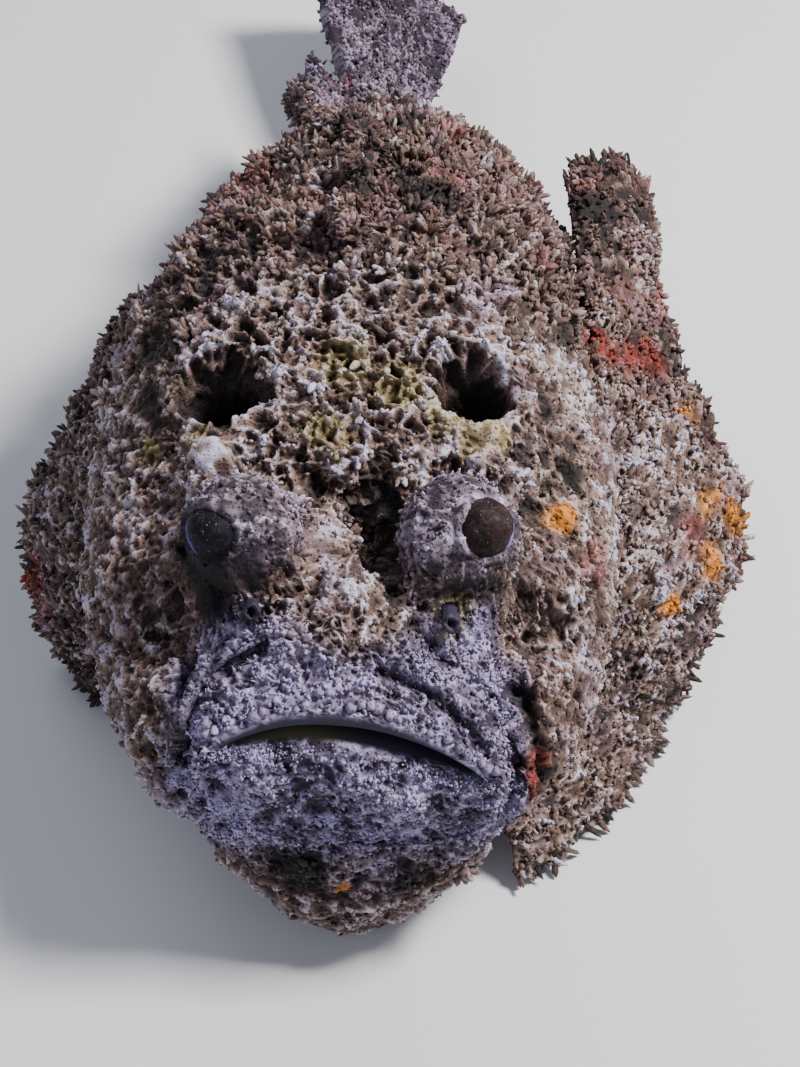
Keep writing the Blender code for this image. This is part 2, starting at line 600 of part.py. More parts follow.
def main():
    for obj in list(bpy.data.objects):
        bpy.data.objects.remove(obj)

    pectorals = {"left": pectoral_grid(LEFT_BASE, LEFT_RIM, 1.0), "right": pectoral_grid(RIGHT_BASE, RIGHT_RIM, -1.0)}
    pelvics = {"left": pelvic_grid(1.0), "right": pelvic_grid(-1.0)}
    spiny = upright_grid(SPINY_REACH, 90.0, SPINE_HEIGHTS, 0.6, SPINE_LEAN, (3.2, 1.6), zigzag=2.2)
    soft = upright_grid(SOFT_REACH, 90.0, SOFT_HEIGHTS, 0.82, math.radians(40.0), (2.2, 1.0))
    anal = upright_grid(ANAL_REACH, -90.0, ANAL_HEIGHTS, 0.82, math.radians(45.0), (1.8, 0.9), aside=(0.9, 0.0, 0.25))
    tail = tail_grid()
    eyes = {"left": eye_centre(1.0), "right": eye_centre(-1.0)}

    avoid = [grid[0].reshape(-1, 3) for grid in (*pectorals.values(), *pelvics.values(), spiny, soft, anal, tail)]
    avoid += [centre[None] + look * 6.0 for centre, look in eyes.values()]
    avoid = np.concatenate(avoid)

    body = flesh("body")
    lids = [ring_tube(centre + look * 2.4, look, 8.2, 2.4) for centre, look in eyes.values()]
    combine(body, lay_warts(avoid) + mouth_fringe() + lids, "UNION")
    sockets = [ball("socket", centre, look, EYE_RADIUS + SEAM) for centre, look in eyes.values()]
    combine(body, sockets, "DIFFERENCE")

    gap = SEAM / 2
    (low_y, low_z), (high_y, high_z) = HEAD_CUT
    slope = (high_y - low_y) / (high_z - low_z)
    floor_y, top_y = low_y + slope * (-20.0 - low_z), low_y + slope * (170.0 - low_z)
    slant = gap * math.hypot(1.0, slope)
    shares = {
        "head": [(-70, -20), (floor_y - slant, -20), (top_y - slant, 170), (-70, 170)],
        "trunk": [(floor_y + slant, -20), (TAIL_CUT - gap, -20), (TAIL_CUT - gap, 170), (top_y + slant, 170)],
        "tail": [(TAIL_CUT + gap, -20), (420, -20), (420, 170), (TAIL_CUT + gap, 170)],
    }
    for name, outline in shares.items():
        piece = combine(copy_of(body, name), [prism("share", outline, BLOCK_SIDE)], "INTERSECT")
        if name == "head":
            jaw = combine(copy_of(piece, "lower_jaw"), [jaw_block("jaw_block", -gap)], "INTERSECT")
            finish(jaw, "lower_jaw", LIP)
            combine(piece, [jaw_block("jaw_block", gap)], "DIFFERENCE")
        finish(piece, name, SKIN)
    bpy.data.objects.remove(body)

    for side in ("left", "right"):
        centre, look = eyes[side]
        finish(ball("eye", centre, look, EYE_RADIUS), "eye_" + side, EYE)

    fins = {
        "pectoral_fin_left": (pectorals["left"], rim_fringe(pectorals["left"][0], 2.0, 2)),
        "pectoral_fin_right": (pectorals["right"], rim_fringe(pectorals["right"][0], 2.0, 2)),
        "pelvic_fin_left": (pelvics["left"], []),
        "pelvic_fin_right": (pelvics["right"], []),
        "dorsal_fin_spiny": (spiny, []),
        "dorsal_fin_soft": (soft, []),
        "anal_fin": (anal, []),
        "tail_fin": (tail, []),
    }
    for name, (grid, fringe) in fins.items():
        fin = fin_sheet(name, *grid)
        if fringe:
            combine(fin, fringe, "UNION")
        combine(fin, [flesh("trim", swell=0.4)], "DIFFERENCE")
        finish(fin, name, FIN)

    total = 0
    for obj in bpy.data.objects:
        triangles = sum(len(p.vertices) - 2 for p in obj.data.polygons)
        total += triangles
        print(obj.name, triangles)
    print("all", total)


main()
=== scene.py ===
import math
import bpy
import numpy as np
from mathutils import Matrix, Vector


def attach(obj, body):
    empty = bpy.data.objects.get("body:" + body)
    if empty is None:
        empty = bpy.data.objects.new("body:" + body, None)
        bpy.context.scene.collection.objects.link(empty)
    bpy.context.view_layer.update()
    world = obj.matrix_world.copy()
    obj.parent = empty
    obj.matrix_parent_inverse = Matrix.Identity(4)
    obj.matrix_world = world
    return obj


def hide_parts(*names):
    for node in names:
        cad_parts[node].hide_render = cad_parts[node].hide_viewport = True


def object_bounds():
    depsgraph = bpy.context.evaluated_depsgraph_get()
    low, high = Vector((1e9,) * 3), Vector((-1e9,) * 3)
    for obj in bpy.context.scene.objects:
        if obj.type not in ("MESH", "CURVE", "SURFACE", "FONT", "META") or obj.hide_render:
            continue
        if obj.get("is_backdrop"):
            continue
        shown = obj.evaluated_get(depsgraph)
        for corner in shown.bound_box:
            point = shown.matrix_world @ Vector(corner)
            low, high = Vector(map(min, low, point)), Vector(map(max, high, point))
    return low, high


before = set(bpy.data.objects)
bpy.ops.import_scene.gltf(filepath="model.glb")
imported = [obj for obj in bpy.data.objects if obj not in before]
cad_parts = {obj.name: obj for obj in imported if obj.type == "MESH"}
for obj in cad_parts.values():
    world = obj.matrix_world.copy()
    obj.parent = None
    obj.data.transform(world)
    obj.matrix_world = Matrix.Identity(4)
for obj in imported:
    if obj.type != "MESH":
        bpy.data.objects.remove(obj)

cadLow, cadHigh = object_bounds()
print("frame loaded")

# Every length below is in millimetres. y is counted from the lips and z from the floor.
mm = 0.001
bellyOrigin = 100.0


# Noise, worked out for whole arrays of points
def hashed(cell, seed):
    # three numbers from 0 to 1 for each whole-number cell, by multiplying and folding its bits
    x, y, z = (cell[..., k].astype(np.int64) & 0xFFFFFFFF for k in range(3))
    h = (x * 374761393 + y * 668265263 + z * 2147483629 + seed * 974711) & 0xFFFFFFFF
    out = []
    for step in (1274126177, 2246822519, 3266489917):
        h = ((h ^ (h >> 15)) * step) & 0xFFFFFFFF
        h = h ^ (h >> 13)
        out.append((h & 0xFFFFFF) / float(0xFFFFFF))
    return np.stack(out, axis=-1)


def valueNoise(points, size, seed, octaves=3):
    # hashed values at the corners of a cubic lattice, blended smoothly, summed at halving sizes; -1 to 1
    total, weight, norm = 0.0, 1.0, 0.0
    for octave in range(octaves):
        q = points / (size / 2 ** octave)
        base = np.floor(q)
        f = q - base
        f = f * f * (3 - 2 * f)
        value = 0.0
        for i in (0, 1):
            for j in (0, 1):
                for k in (0, 1):
                    corner = hashed(base + (i, j, k), seed + octave * 17)[..., 0]
                    value = value + corner * ((f[..., 0] if i else 1 - f[..., 0])
                                              * (f[..., 1] if j else 1 - f[..., 1])
                                              * (f[..., 2] if k else 1 - f[..., 2]))
        total = total + (value * 2 - 1) * weight
        norm += weight
        weight *= 0.55
    return total / norm


def cellNoise(points, size, seed):
    # one jittered dot in each cell of a lattice: the distances to the nearest two,
    # and a number of the nearest one's own
    q = points / size
    base = np.floor(q)
    near = np.full(q.shape[:-1], 9.0)
    second = near.copy()
    number = np.zeros(q.shape[:-1])
    for i in (-1, 0, 1):
        for j in (-1, 0, 1):
            for k in (-1, 0, 1):
                cell = base + (i, j, k)
                dice = hashed(cell, seed)
                d = np.sqrt((((cell + dice) - q) ** 2).sum(-1))
                closer = d < near
                second = np.where(closer, near, np.minimum(second, d))
                number = np.where(closer, dice[..., 2], number)
                near = np.where(closer, d, near)
    return near, second, number


def smoothStep(value, low, high):
    # nought below low and 1 above high, with 3 t ** 2 - 2 t ** 3 between them
    t = np.clip((value - low) / (high - low), 0.0, 1.0)
    return t * t * (3 - 2 * t)


def spline(values, at):
    # a smooth curve through evenly spaced values (Catmull-Rom), read at float positions
    values = np.asarray(values, float)
    last = len(values) - 1
    at = np.clip(np.asarray(at, float), 0.0, last - 1e-9)
    i = at.astype(int)
    t = (at - i).reshape(at.shape + (1,) * (values.ndim - 1))
    a, b = values[np.maximum(i - 1, 0)], values[i]
    c, d = values[i + 1], values[np.minimum(i + 2, last)]
    bent, twisted = 2 * a - 5 * b + 4 * c - d, 3 * b - a - 3 * c + d
    return 0.5 * (2 * b + (c - a) * t + bent * t ** 2 + twisted * t ** 3)


def unit(vectors):
    # each vector divided by its own length
    return vectors / np.maximum(np.linalg.norm(vectors, axis=-1, keepdims=True), 1e-9)


# The body's form
# Each ring: top point (y, z), bottom point (y, z), half width, squareness below, droop of the sides
body = {
    "rings": [
        ((14.0, 68.6), (14.0, 66.6), 19.0, 2.0, 7.0),
        ((3.0, 71.6), (3.0, 68.8), 26.0, 2.0, 7.5),
        ((-2.0, 74.4), (-3.5, 68.4), 31.0, 2.0, 8.0),
        ((3.0, 79.0), (-9.0, 61.0), 36.0, 2.0, 8.0),
        ((12.0, 83.0), (-12.0, 49.0), 41.0, 2.0, 6.0),
        ((24.0, 86.0), (-15.0, 33.0), 46.0, 2.0, 4.0),
        ((36.0, 88.0), (-18.0, 21.0), 52.0, 1.8, 2.0),
        ((50.0, 91.0), (-17.0, 9.0), 58.0, 1.6, 1.0),
        ((64.0, 96.0), (-10.0, 1.0), 63.0, 1.6, 0.0),
        ((80.0, 104.0), (12.0, -1.5), 67.0, 1.7, 0.0),
        ((96.0, 112.0), (44.0, -2.0), 68.0, 2.1, 0.0),
        ((112.0, 117.0), (80.0, -2.0), 67.0, 2.5, 0.0),
        ((131.0, 118.0), (116.0, -2.0), 63.0, 2.8, 0.0),
        ((152.0, 113.0), (146.0, -2.0), 57.0, 2.7, 0.0),
        ((176.0, 102.0), (174.0, -2.0), 52.0, 2.6, 0.0),
        ((201.0, 87.0), (200.0, -1.0), 45.0, 2.4, 0.0),
        ((225.0, 71.0), (225.0, 3.0), 35.0, 2.2, 0.0),
        ((248.0, 56.0), (248.0, 8.0), 23.0, 2.0, 0.0),
        ((267.0, 47.0), (267.0, 12.0), 13.0, 2.0, 0.0),
        ((282.0, 45.0), (282.0, 13.0), 7.0, 2.0, 0.0),
    ],
    "rollFrom": 140.0, "rollTo": 275.0, "roll": math.radians(55.0),
    "bendFrom": 95.0, "bendTo": 215.0, "bend": 11.0,
    "mouthTilt": 0.14, "mouthReach": (45.0, 30.0, 28.0), "throatPinch": 0.2,
    "columns": 460,
}


def turned(points):
    # rolls the rear of the body about its own middle line and bends it to the fish's left
    x, y, z = points[..., 0], points[..., 1], points[..., 2]
    roll = body["roll"] * smoothStep(y, body["rollFrom"], body["rollTo"])
    middle = np.array([(r[0][0], (r[0][1] + max(r[1][1], 0.0)) / 2) for r in body["rings"][10:]])
    axisZ = np.interp(y, middle[:, 0], middle[:, 1])
    h = z - axisZ
    aside = body["bend"] * smoothStep(y, body["bendFrom"], body["bendTo"])
    newX, newZ = x * np.cos(roll) - h * np.sin(roll) + aside, x * np.sin(roll) + h * np.cos(roll)
    return np.stack([newX, y, axisZ + newZ], axis=-1)


def ringPoint(station, angle):
    # a squashed ellipse for each ring: its height runs from the bottom point to the top point
    station, angle = np.broadcast_arrays(np.asarray(station, float), np.asarray(angle, float))
    rings = body["rings"]
    top, bottom = (spline([r[k] for r in rings], station) for k in (0, 1))
    half, square, droop = (spline([r[k] for r in rings], station) for k in (2, 3, 4))
    c, s = np.cos(angle), np.sin(angle)
    power = np.where(s >= 0, 2.0, square)
    reach = (np.abs(c) ** power + np.abs(s) ** power) ** (-1.0 / power)
    up = top - bottom
    share = 0.48 + np.where(s >= 0, 0.52, 0.48) * s * reach
    flat = bottom + up * share[..., None]
    drop = droop * (reach * c) ** 2 + 0.05 * half * reach * c * (droop > 5)
    flat = flat - up / np.linalg.norm(up, axis=-1)[..., None] * drop[..., None]
    return np.stack([half * reach * c, flat[..., 0], flat[..., 1]], axis=-1)


def bump(points, centre, radii, power=1.0):
    # 1 in the middle of an ellipsoid of those radii, falling smoothly to nothing
    d = (points - np.asarray(centre, float)) / np.asarray(radii, float)
    return np.exp(-np.power((d ** 2).sum(-1), power))


def gridNormals(grid, closed=True):
    # the cross product of the steps along and round the grid
    along = np.gradient(grid, axis=0)
    if closed:
        padded = np.concatenate([grid[:, -1:], grid, grid[:, :1]], axis=1)
        around = (padded[:, 2:] - padded[:, :-2]) / 2
    else:
        around = np.gradient(grid, axis=1)
    return unit(np.cross(along, around))


def relief(points, normals):
    # knobs under the eyes, pits before and behind them, brow, snout, cheeks and the folds beside the jaw
    x, y, z = points[..., 0], points[..., 1], points[..., 2]
    moved = np.zeros_like(points)
    front = smoothStep(z, 30.0, 60.0)
    low = (1 - smoothStep(z, 15.0, 60.0)) * (1 - smoothStep(y, 30.0, 80.0))
    moved[..., 0] -= body["throatPinch"] * x * low
    tilt = bump(points, (0.0, -2.0, 68.0), body["mouthReach"])
    moved += (body["mouthTilt"] * x * tilt)[..., None] * np.array([0.0, -0.25, -1.0])
    for side in (-1.0, 1.0):
        knob = bump(points, (side * 26, 40, 84), (16.5, 14.5, 19), 2.2) * front
        moved += knob[..., None] * np.array([side * 2.5, -3.5, 18.0])
        pit = bump(points, (side * 29, 80, 92), (10.5, 7.5, 16), 2.0) * front
        moved += pit[..., None] * np.array([0.0, 2.0, -19.0])
        rim = bump(points, (side * 30, 81, 92), (18, 15, 22), 1.6) * front
        moved += rim[..., None] * np.array([0.0, 0.0, 5.0])
        knot = bump(points, (side * 35, 59, 88), (6.5, 6, 12), 1.6) * front
        moved += knot[..., None] * np.array([0.0, -1.0, 6.0])
        under = bump(points, (side * 45, 29, 66), (8, 9, 12), 1.6)
        moved -= under[..., None] * normals * 9.0
        cheek = bump(points, (side * 52, 52, 66), (12, 14, 16), 1.4)
        moved += cheek[..., None] * normals * 4.0
        fold = np.abs(np.abs(x) - (41 + 0.10 * (60 - z))) / 3.4
        near = smoothStep(z, 18, 34) * (1 - smoothStep(z, 72, 82)) * (y < 60) * (x * side > 0)
        moved -= (np.exp(-fold ** 2) * near)[..., None] * normals * 5.0
    between = bump(points, (3, 43, 88), (8.5, 11, 18), 1.8) * front
    moved += between[..., None] * np.array([0.0, 3.0, -14.0])
    brow = bump(points, (0, 66, 92), (22, 8, 20), 1.6) * front
    moved += brow[..., None] * np.array([0.0, 0.0, 4.0])
    snout = bump(points, (-2, 20, 82), (16, 11, 16), 1.4) * front
    moved += snout[..., None] * np.array([0.0, -2.0, 5.0])
    lip = np.exp(-((z - 76.5 + 0.011 * x ** 2) / 3.0) ** 2) * (y < 12) * (np.abs(x) < 40)
    moved += lip[..., None] * normals * 1.5
    return moved


def bodySurface(stations, angles):
    # the smooth body with its relief, rolled and bent, on a grid of ring numbers and angles
    s, a = np.meshgrid(stations, angles, indexing="ij")
    plain = ringPoint(s, a)
    return turned(plain + relief(plain, gridNormals(plain)))


def surfaceAt(stations, angles):
    # places and outward normals for paired ring numbers and angles, by differences over a small step
    step = 0.02

    def shaped(s, a):
        along = ringPoint(s + step, a) - ringPoint(s - step, a)
        around = ringPoint(s, a + step) - ringPoint(s, a - step)
        plain = ringPoint(s, a)
        return turned(plain + relief(plain, unit(np.cross(along, around))))

    s, a = np.asarray(stations, float), np.asarray(angles, float)
    along = shaped(s + step, a) - shaped(s - step, a)
    return shaped(s, a), unit(np.cross(along, shaped(s, a + step) - shaped(s, a - step))), unit(along)


# Where each colour and kind of skin lies
patches = {  # x, y, z and radius of each ball of colour
    "rust": [(46, 1, 51, 7), (65, 123, 73, 9), (81, 130, 62, 9), (74, 127, 66, 7), (90, 84, 46, 6),
             (26, 180, 96, 4), (44, 183, 83, 5), (0, 282, 40, 6), (-22, 168, 98, 5), (-84, 84, 26, 7),
             (12, 158, 108, 4), (-12, 74, 98, 3), (74, 165, 68, 4)],
    "amber": [(52, 56, 81, 5.5), (95, 92, 47, 6.5), (96, 80, 38, 6.5), (82, 68, 32, 5), (102, 92, 40, 5),
              (89, 115, 56, 5), (-4, -16, 30, 2.5), (-66, 108, 50, 3)],
    "rose": [(62, 50, 72, 7), (88, 84, 42, 8), (102, 84, 30, 5), (26, 150, 110, 8), (-26, 158, 102, 8),
             (-84, 76, 20, 7), (50, 130, 100, 6), (66, 184, 74, 6), (84, 152, 60, 5)],
    "olive": [(-2, 84, 106, 9), (11, 78, 104, 9), (21, 70, 100, 6), (29, 66, 96, 6), (-5, 66, 101, 8),
              (-36, 68, 95, 4), (-49, 70, 88, 5), (34, 68, 95, 5), (24, 22, 84, 7)],
    # dark balls: the skin's own dark blotches, and painted shadow round and under the right eye, in the
    # pits behind the eyes and on the throat
    "dark": [(20, 134, 115, 9), (9, 53, 85, 6), (11, 40, 86, 5), (-31, 84, 91, 10), (31, 85, 93, 7),
             (-36, 28, 88, 11), (-50, 84, 93, 5), (48, 81, 94, 4), (56, 70, 82, 4), (-14, -12, 32, 9),
             (14, -8, 30, 8), (-34, 176, 88, 9), (52, 108, 88, 6), (-38, 38, 94, 8), (-20, 190, 96, 10),
             (68, 178, 74, 7), (-44, 100, 96, 8)],
    # pale balls: the skin's own pale clusters, and painted light on the lit left cheek and left pectoral
    # fin
    "pale": [(-32, 64, 95, 6.5), (34, 68, 95, 4), (-14, 34, 97, 7), (-4, 40, 90, 6), (0, 21, 90, 8),
             (62, 60, 64, 13), (50, 100, 92, 11), (14, 34, 98, 5), (-60, 70, 64, 10), (-48, 120, 90, 8),
             (80, 76, 42, 14), (84, 100, 54, 12), (54, 34, 60, 8), (83, 168, 67, 9), (80, 150, 66, 7),
             (30, 72, 96, 5), (10, 146, 114, 7), (-16, 122, 116, 7), (36, 150, 100, 7)],
}


def masks(points):
    # soft balls of colour with wandering edges, each exp(-(distance / radius) ** 3), then the regions of
    # the skin: the eyes' knobs, the lilac parts, the face, the back and the crown
    wander = np.stack([valueNoise(points, 14.0, 40 + k) for k in range(3)], axis=-1) * 5.0
    p = points + wander
    out = {}
    for name, balls in patches.items():
        best = np.zeros(points.shape[:-1])
        for x, y, z, r in balls:
            d2 = ((p - (x, y, z)) ** 2).sum(-1) / r ** 2
            best = np.maximum(best, np.exp(-d2 ** 1.5))
        out[name] = best
    knobs = [bump(points, (side * 25.5, 38.5, 96.0), (15.5, 14.5, 15.0), 2.0) for side in (-1.0, 1.0)]
    out["knob"] = np.maximum(*knobs)
    # darker towards the tail's end as well
    out["dark"] = np.maximum(out["dark"], 0.3 * smoothStep(points[..., 1], 262.0, 290.0))
    x, y, z = p[..., 0], p[..., 1], p[..., 2]
    face = smoothStep(26.0 + 0.25 * (z - 60.0) - y, 0.0, 10.0) * (1 - smoothStep(np.abs(x), 38.0, 46.0))
    face = face * smoothStep(z, 26.0, 44.0) * (1 - smoothStep(z, 80.0, 90.0))
    out["lilac"] = np.maximum(np.maximum(face, 0.65 * smoothStep(y, 232.0, 285.0)), 0.6 * out["knob"])
    out["face"] = face
    out["back"] = smoothStep(y, 98.0, 124.0)
    crown = smoothStep(z, 84.0, 94.0) * (1 - smoothStep(np.abs(x), 36.0, 48.0)) * smoothStep(y, 40.0, 56.0)
    out["crown"] = crown * (1 - out["back"])
    return out


# Meshes
def makePiece(name, points, quads, tris, material, layers, cornerUv=None, vertexUv=None):
    # points in millimetres, held inside the CAD model's box; quads and tris hold vertex numbers,
    # and each layer is one number for each vertex
    mesh = bpy.data.meshes.new(name)
    place = np.clip((points - (0.0, bellyOrigin, 0.0)) * mm, np.array(cadLow), np.array(cadHigh))
    mesh.vertices.add(len(place))
    mesh.vertices.foreach_set("co", place.astype(np.float32).ravel())
    quads = np.asarray(quads, np.int32).reshape(-1, 4)
    tris = np.asarray(tris, np.int32).reshape(-1, 3)
    loops = np.concatenate([quads.ravel(), tris.ravel()])
    starts = np.concatenate([np.arange(len(quads)) * 4, len(quads) * 4 + np.arange(len(tris)) * 3])
    mesh.loops.add(len(loops))
    mesh.loops.foreach_set("vertex_index", loops)
    mesh.polygons.add(len(starts))
    mesh.polygons.foreach_set("loop_start", starts.astype(np.int32))
    mesh.polygons.foreach_set("use_smooth", np.ones(len(starts), bool))
    uv = mesh.uv_layers.new(name="OFBake")
    corners = vertexUv[loops] if cornerUv is None else cornerUv
    uv.data.foreach_set("uv", corners.astype(np.float32).ravel())
    for layer, values in layers.items():
        stored = mesh.attributes.new(layer, "FLOAT", "POINT")
        stored.data.foreach_set("value", values.astype(np.float32).ravel())
    mesh.update(calc_edges=True)
    mesh.validate()
    mesh.materials.append(material)
    piece = bpy.data.objects.new(name, mesh)
    bpy.context.scene.collection.objects.link(piece)
    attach(piece, "root")
    print(name, len(quads) * 2 + len(tris), "triangles")
    return piece


def ringQuads(rows, columns):
    # one quad for each cell of a grid whose last column joins its first, and the cell's row and column
    i, j = (g.ravel() for g in np.meshgrid(np.arange(rows - 1), np.arange(columns), indexing="ij"))
    a, b = i * columns + j, i * columns + (j + 1) % columns
    return np.stack([a, a + columns, b + columns, b], axis=1), i, j


# Shader maths
class Wire:
    # a socket, or a plain number, that can be used in a sum
    def __init__(self, tree, socket):
        self.tree, self.socket = tree, socket

    def maths(self, operation, *others, clamp=False):
        values = {k: getattr(v, "socket", v) for k, v in enumerate((self,) + others)}
        return self.add("ShaderNodeMath", {"operation": operation, "use_clamp": clamp}, values)

    def add(self, kind, settings, sockets, out=0):
        node = self.tree.nodes.new(kind)
        for key, value in settings.items():
            if key == "stops":
                ramp = node.color_ramp
                while len(ramp.elements) < len(value):
                    ramp.elements.new(0.5)
                for element, (position, colour) in zip(ramp.elements, value):
                    element.position = position
                    element.color = (*colour, 1.0)
            else:
                setattr(node, key, value)
        for key, value in sockets.items():
            value = getattr(value, "socket", value)
            if isinstance(value, bpy.types.NodeSocket):
                self.tree.links.new(value, node.inputs[key])
            else:
                node.inputs[key].default_value = value
        return Wire(self.tree, node.outputs[out])

    def __add__(self, other):
        return self.maths("ADD", other)

    def __mul__(self, other):
        return self.maths("MULTIPLY", other)

    def __sub__(self, other):
        return self.maths("SUBTRACT", other)

    def __rsub__(self, other):
        return self * -1.0 + other

    __radd__ = __add__
    __rmul__ = __mul__

    def clamped(self):
        return self.maths("ADD", 0.0, clamp=True)

    def between(self, low, high):
        settings = {"interpolation_type": "SMOOTHSTEP"}
        return self.add("ShaderNodeMapRange", settings, {0: self, 1: low, 2: high})

    def noise(self, scale, detail=3.0, roughness=0.6):
        return self.add("ShaderNodeTexNoise", {}, {"Vector": self, "Scale": scale, "Detail": detail,
                                                   "Roughness": roughness}, "Fac")

    def cells(self, scale):
        return self.add("ShaderNodeTexVoronoi", {}, {"Vector": self, "Scale": scale}, "Distance")

    def layer(self, name):
        return self.add("ShaderNodeAttribute", {"attribute_name": name}, {}, "Fac")

    def mix(self, first, second):
        # self is the factor between two colours
        first, second = ((*c, 1.0) if isinstance(c, tuple) else c for c in (first, second))
        sockets = {"Factor": self.clamped(), 6: first, 7: second}
        return self.add("ShaderNodeMix", {"data_type": "RGBA"}, sockets, 2)


def newMaterial(name, roughness, specular):
    # a Principled material, its shader, and a wire that carries the place on the object
    made = bpy.data.materials.new(name)
    made.use_nodes = True
    shader = made.node_tree.nodes["Principled BSDF"]
    shader.inputs["Roughness"].default_value = roughness
    shader.inputs["Specular IOR Level"].default_value = specular
    coordinate = made.node_tree.nodes.new("ShaderNodeTexCoord")
    return made, shader, Wire(made.node_tree, coordinate.outputs["Object"])


def connect(wire, shader, name):
    wire.tree.links.new(wire.socket, shader.inputs[name])


# The near-black pit and lilacPit colours are dark hollows deepened with painted shade; the lavender-white
# tip is a painted highlight
crust = {
    "pit": (0.013, 0.008, 0.009), "brown": (0.054, 0.032, 0.026), "tan": (0.148, 0.092, 0.076),
    "cream": (0.285, 0.232, 0.222), "tip": (0.46, 0.43, 0.56), "russet": (0.125, 0.048, 0.036),
    "lilacPit": (0.026, 0.019, 0.042), "lilac": (0.39, 0.34, 0.58),
    "olive": (0.36, 0.29, 0.085), "rust": (0.26, 0.030, 0.018), "amber": (0.66, 0.22, 0.010),
    # the dark colour is used for dark blotches and for painted shadow
    "rose": (0.36, 0.13, 0.12), "dark": (0.014, 0.010, 0.011),
    "lining": (0.030, 0.027, 0.046), "gum": (0.10, 0.088, 0.028),
}
scales = {"blotch": 45.0, "warmth": 80.0, "grain": 1100.0, "drift": 400.0, "pore": 900.0}  # to the metre
driftBy = 0.0012  # how far the pores wander, in metres
patchStrength = {"olive": 0.5, "rust": 0.9, "rose": 0.6, "amber": 0.95, "dark": 0.7}


def crustMaterial(name, poreDepth):
    # dark in the hollows, where the skin's own dark brown is deepened with painted shade, brown, tan and
    # cream on the way up and pale at the tips, where the lavender-white is a painted highlight, then the
    # patches of colour
    made, shader, place = newMaterial(name, 0.62, 0.32)
    height, back = place.layer("height"), place.layer("back")
    blotch, warmth = place.noise(scales["blotch"], 4.0), place.noise(scales["warmth"], 2.0)
    grain = place.noise(scales["grain"], 3.0, 0.7)
    shift = place.add("ShaderNodeTexNoise", {}, {"Vector": place, "Scale": scales["drift"]}, "Color")
    sockets = {0: shift, 1: (driftBy,) * 3, 2: place}
    warped = place.add("ShaderNodeVectorMath", {"operation": "MULTIPLY_ADD"}, sockets)
    # the pores darken the colour as well as the bump: partly the skin's own dark pits, partly painted
    # shade
    pores = 1 - warped.cells(scales["pore"]).between(0.15, 0.40)
    level = height * 1.15 + (grain - 0.5) * 0.55 + (blotch - 0.52) * (0.6 + back * 0.5) - pores * 0.22
    # the pale balls, pale clusters and painted light, raise the level
    level = level + place.layer("pale") * 0.14 - place.layer("knob") * 0.09
    # the dark balls, blotches and painted shadow, lower the level
    level = (level - back * 0.15 - place.layer("dark") * 0.35).clamped()
    stops = [(0.10, crust["pit"]), (0.36, crust["brown"]), (0.60, crust["tan"]), (0.80, crust["cream"]),
             (1.0, crust["tip"])]
    tone = level.add("ShaderNodeValToRGB", {"stops": stops}, {0: level}, 0)
    russet = (level * 1.6).clamped().mix(crust["pit"], crust["russet"])
    tone = ((blotch + warmth).between(0.88, 1.22) * (back * 0.5 + 0.3)).mix(tone, russet)
    cool = level.between(0.1, 1.0).mix(crust["lilacPit"], crust["lilac"])
    tone = (place.layer("lilac") * 0.75 + (warmth - 0.5) * 0.8).clamped().mix(tone, cool)
    for patch, strength in patchStrength.items():
        speck = (place.layer(patch) * 1.4 + (grain - 0.65) * 1.8 + (warmth - 0.5) * 1.6).between(0.2, 1.0)
        colour = (level * 1.1).clamped().mix(tuple(c * 0.12 for c in crust[patch]), crust[patch])
        tone = (speck * strength).mix(tone, colour)
    shine = place.layer("shine")
    inside = (place.layer("gum") * 0.9).mix(crust["lining"], crust["gum"])
    tone = shine.mix(tone, (blotch * 0.7).mix(inside, crust["lilacPit"]))
    connect(tone, shader, "Base Color")
    connect((0.74 - level * 0.22 + shine * 0.1).clamped(), shader, "Roughness")
    bumps = (grain * 0.6 - pores * poreDepth) * (1 - shine * 0.9)
    normal = bumps.add("ShaderNodeBump", {}, {"Strength": 0.8, "Distance": 0.0006, "Height": bumps})
    connect(normal, shader, "Normal")
    return made


skinLook = crustMaterial("wartySkin", 0.7)
coatLook = crustMaterial("crustedWarts", 0.4)
print("materials made")


# Skin
skin = {
    "inset": 1.3,  # how deep the skin lies under the coat's tips
    "lumpSize": 10.5, "lumpHeight": 4.4,
    "granuleSize": 4.3, "granuleHeight": 1.9,
    "netSize": 5.8, "netHeight": 1.6, "hollowDepth": 1.5,
    "poreSize": 2.1, "poreDepth": 1.0, "knotHeight": 0.8,
    "strandHeight": 0.8, "roughSize": 5.0, "roughHeight": 1.0,
    "eyeRadius": 7.6, "eyePlace": (26.5, 38.0, 95.0), "eyeLook": (0.64, -0.42, 0.643), "eyeSet": 6.5,
    "knobBack": 2.0, "knobRadius": 14.0,  # the round knob that holds each eye, centred behind it
    # which way the middle of each eye's bare part faces
    "opening": {1.0: (0.32, -0.55, 0.77), -1.0: (-0.50, -0.80, 0.34)},
}
# the darker hollows and pores are partly the skin's own dark pits and partly painted shade
lightness = {  # how much lighter each feature of the skin is than the ground, or darker
    "ground": 0.34, "lump": 0.12, "granule": 0.34, "net": 0.23, "hollow": 0.28,
    "pore": 0.30, "knot": 0.34, "strand": 0.42, "rough": 0.36,
}
knobFoot = {"place": (26, 40), "radii": (15.5, 14.0), "depth": 2.6}  # the groove round each eye's knob
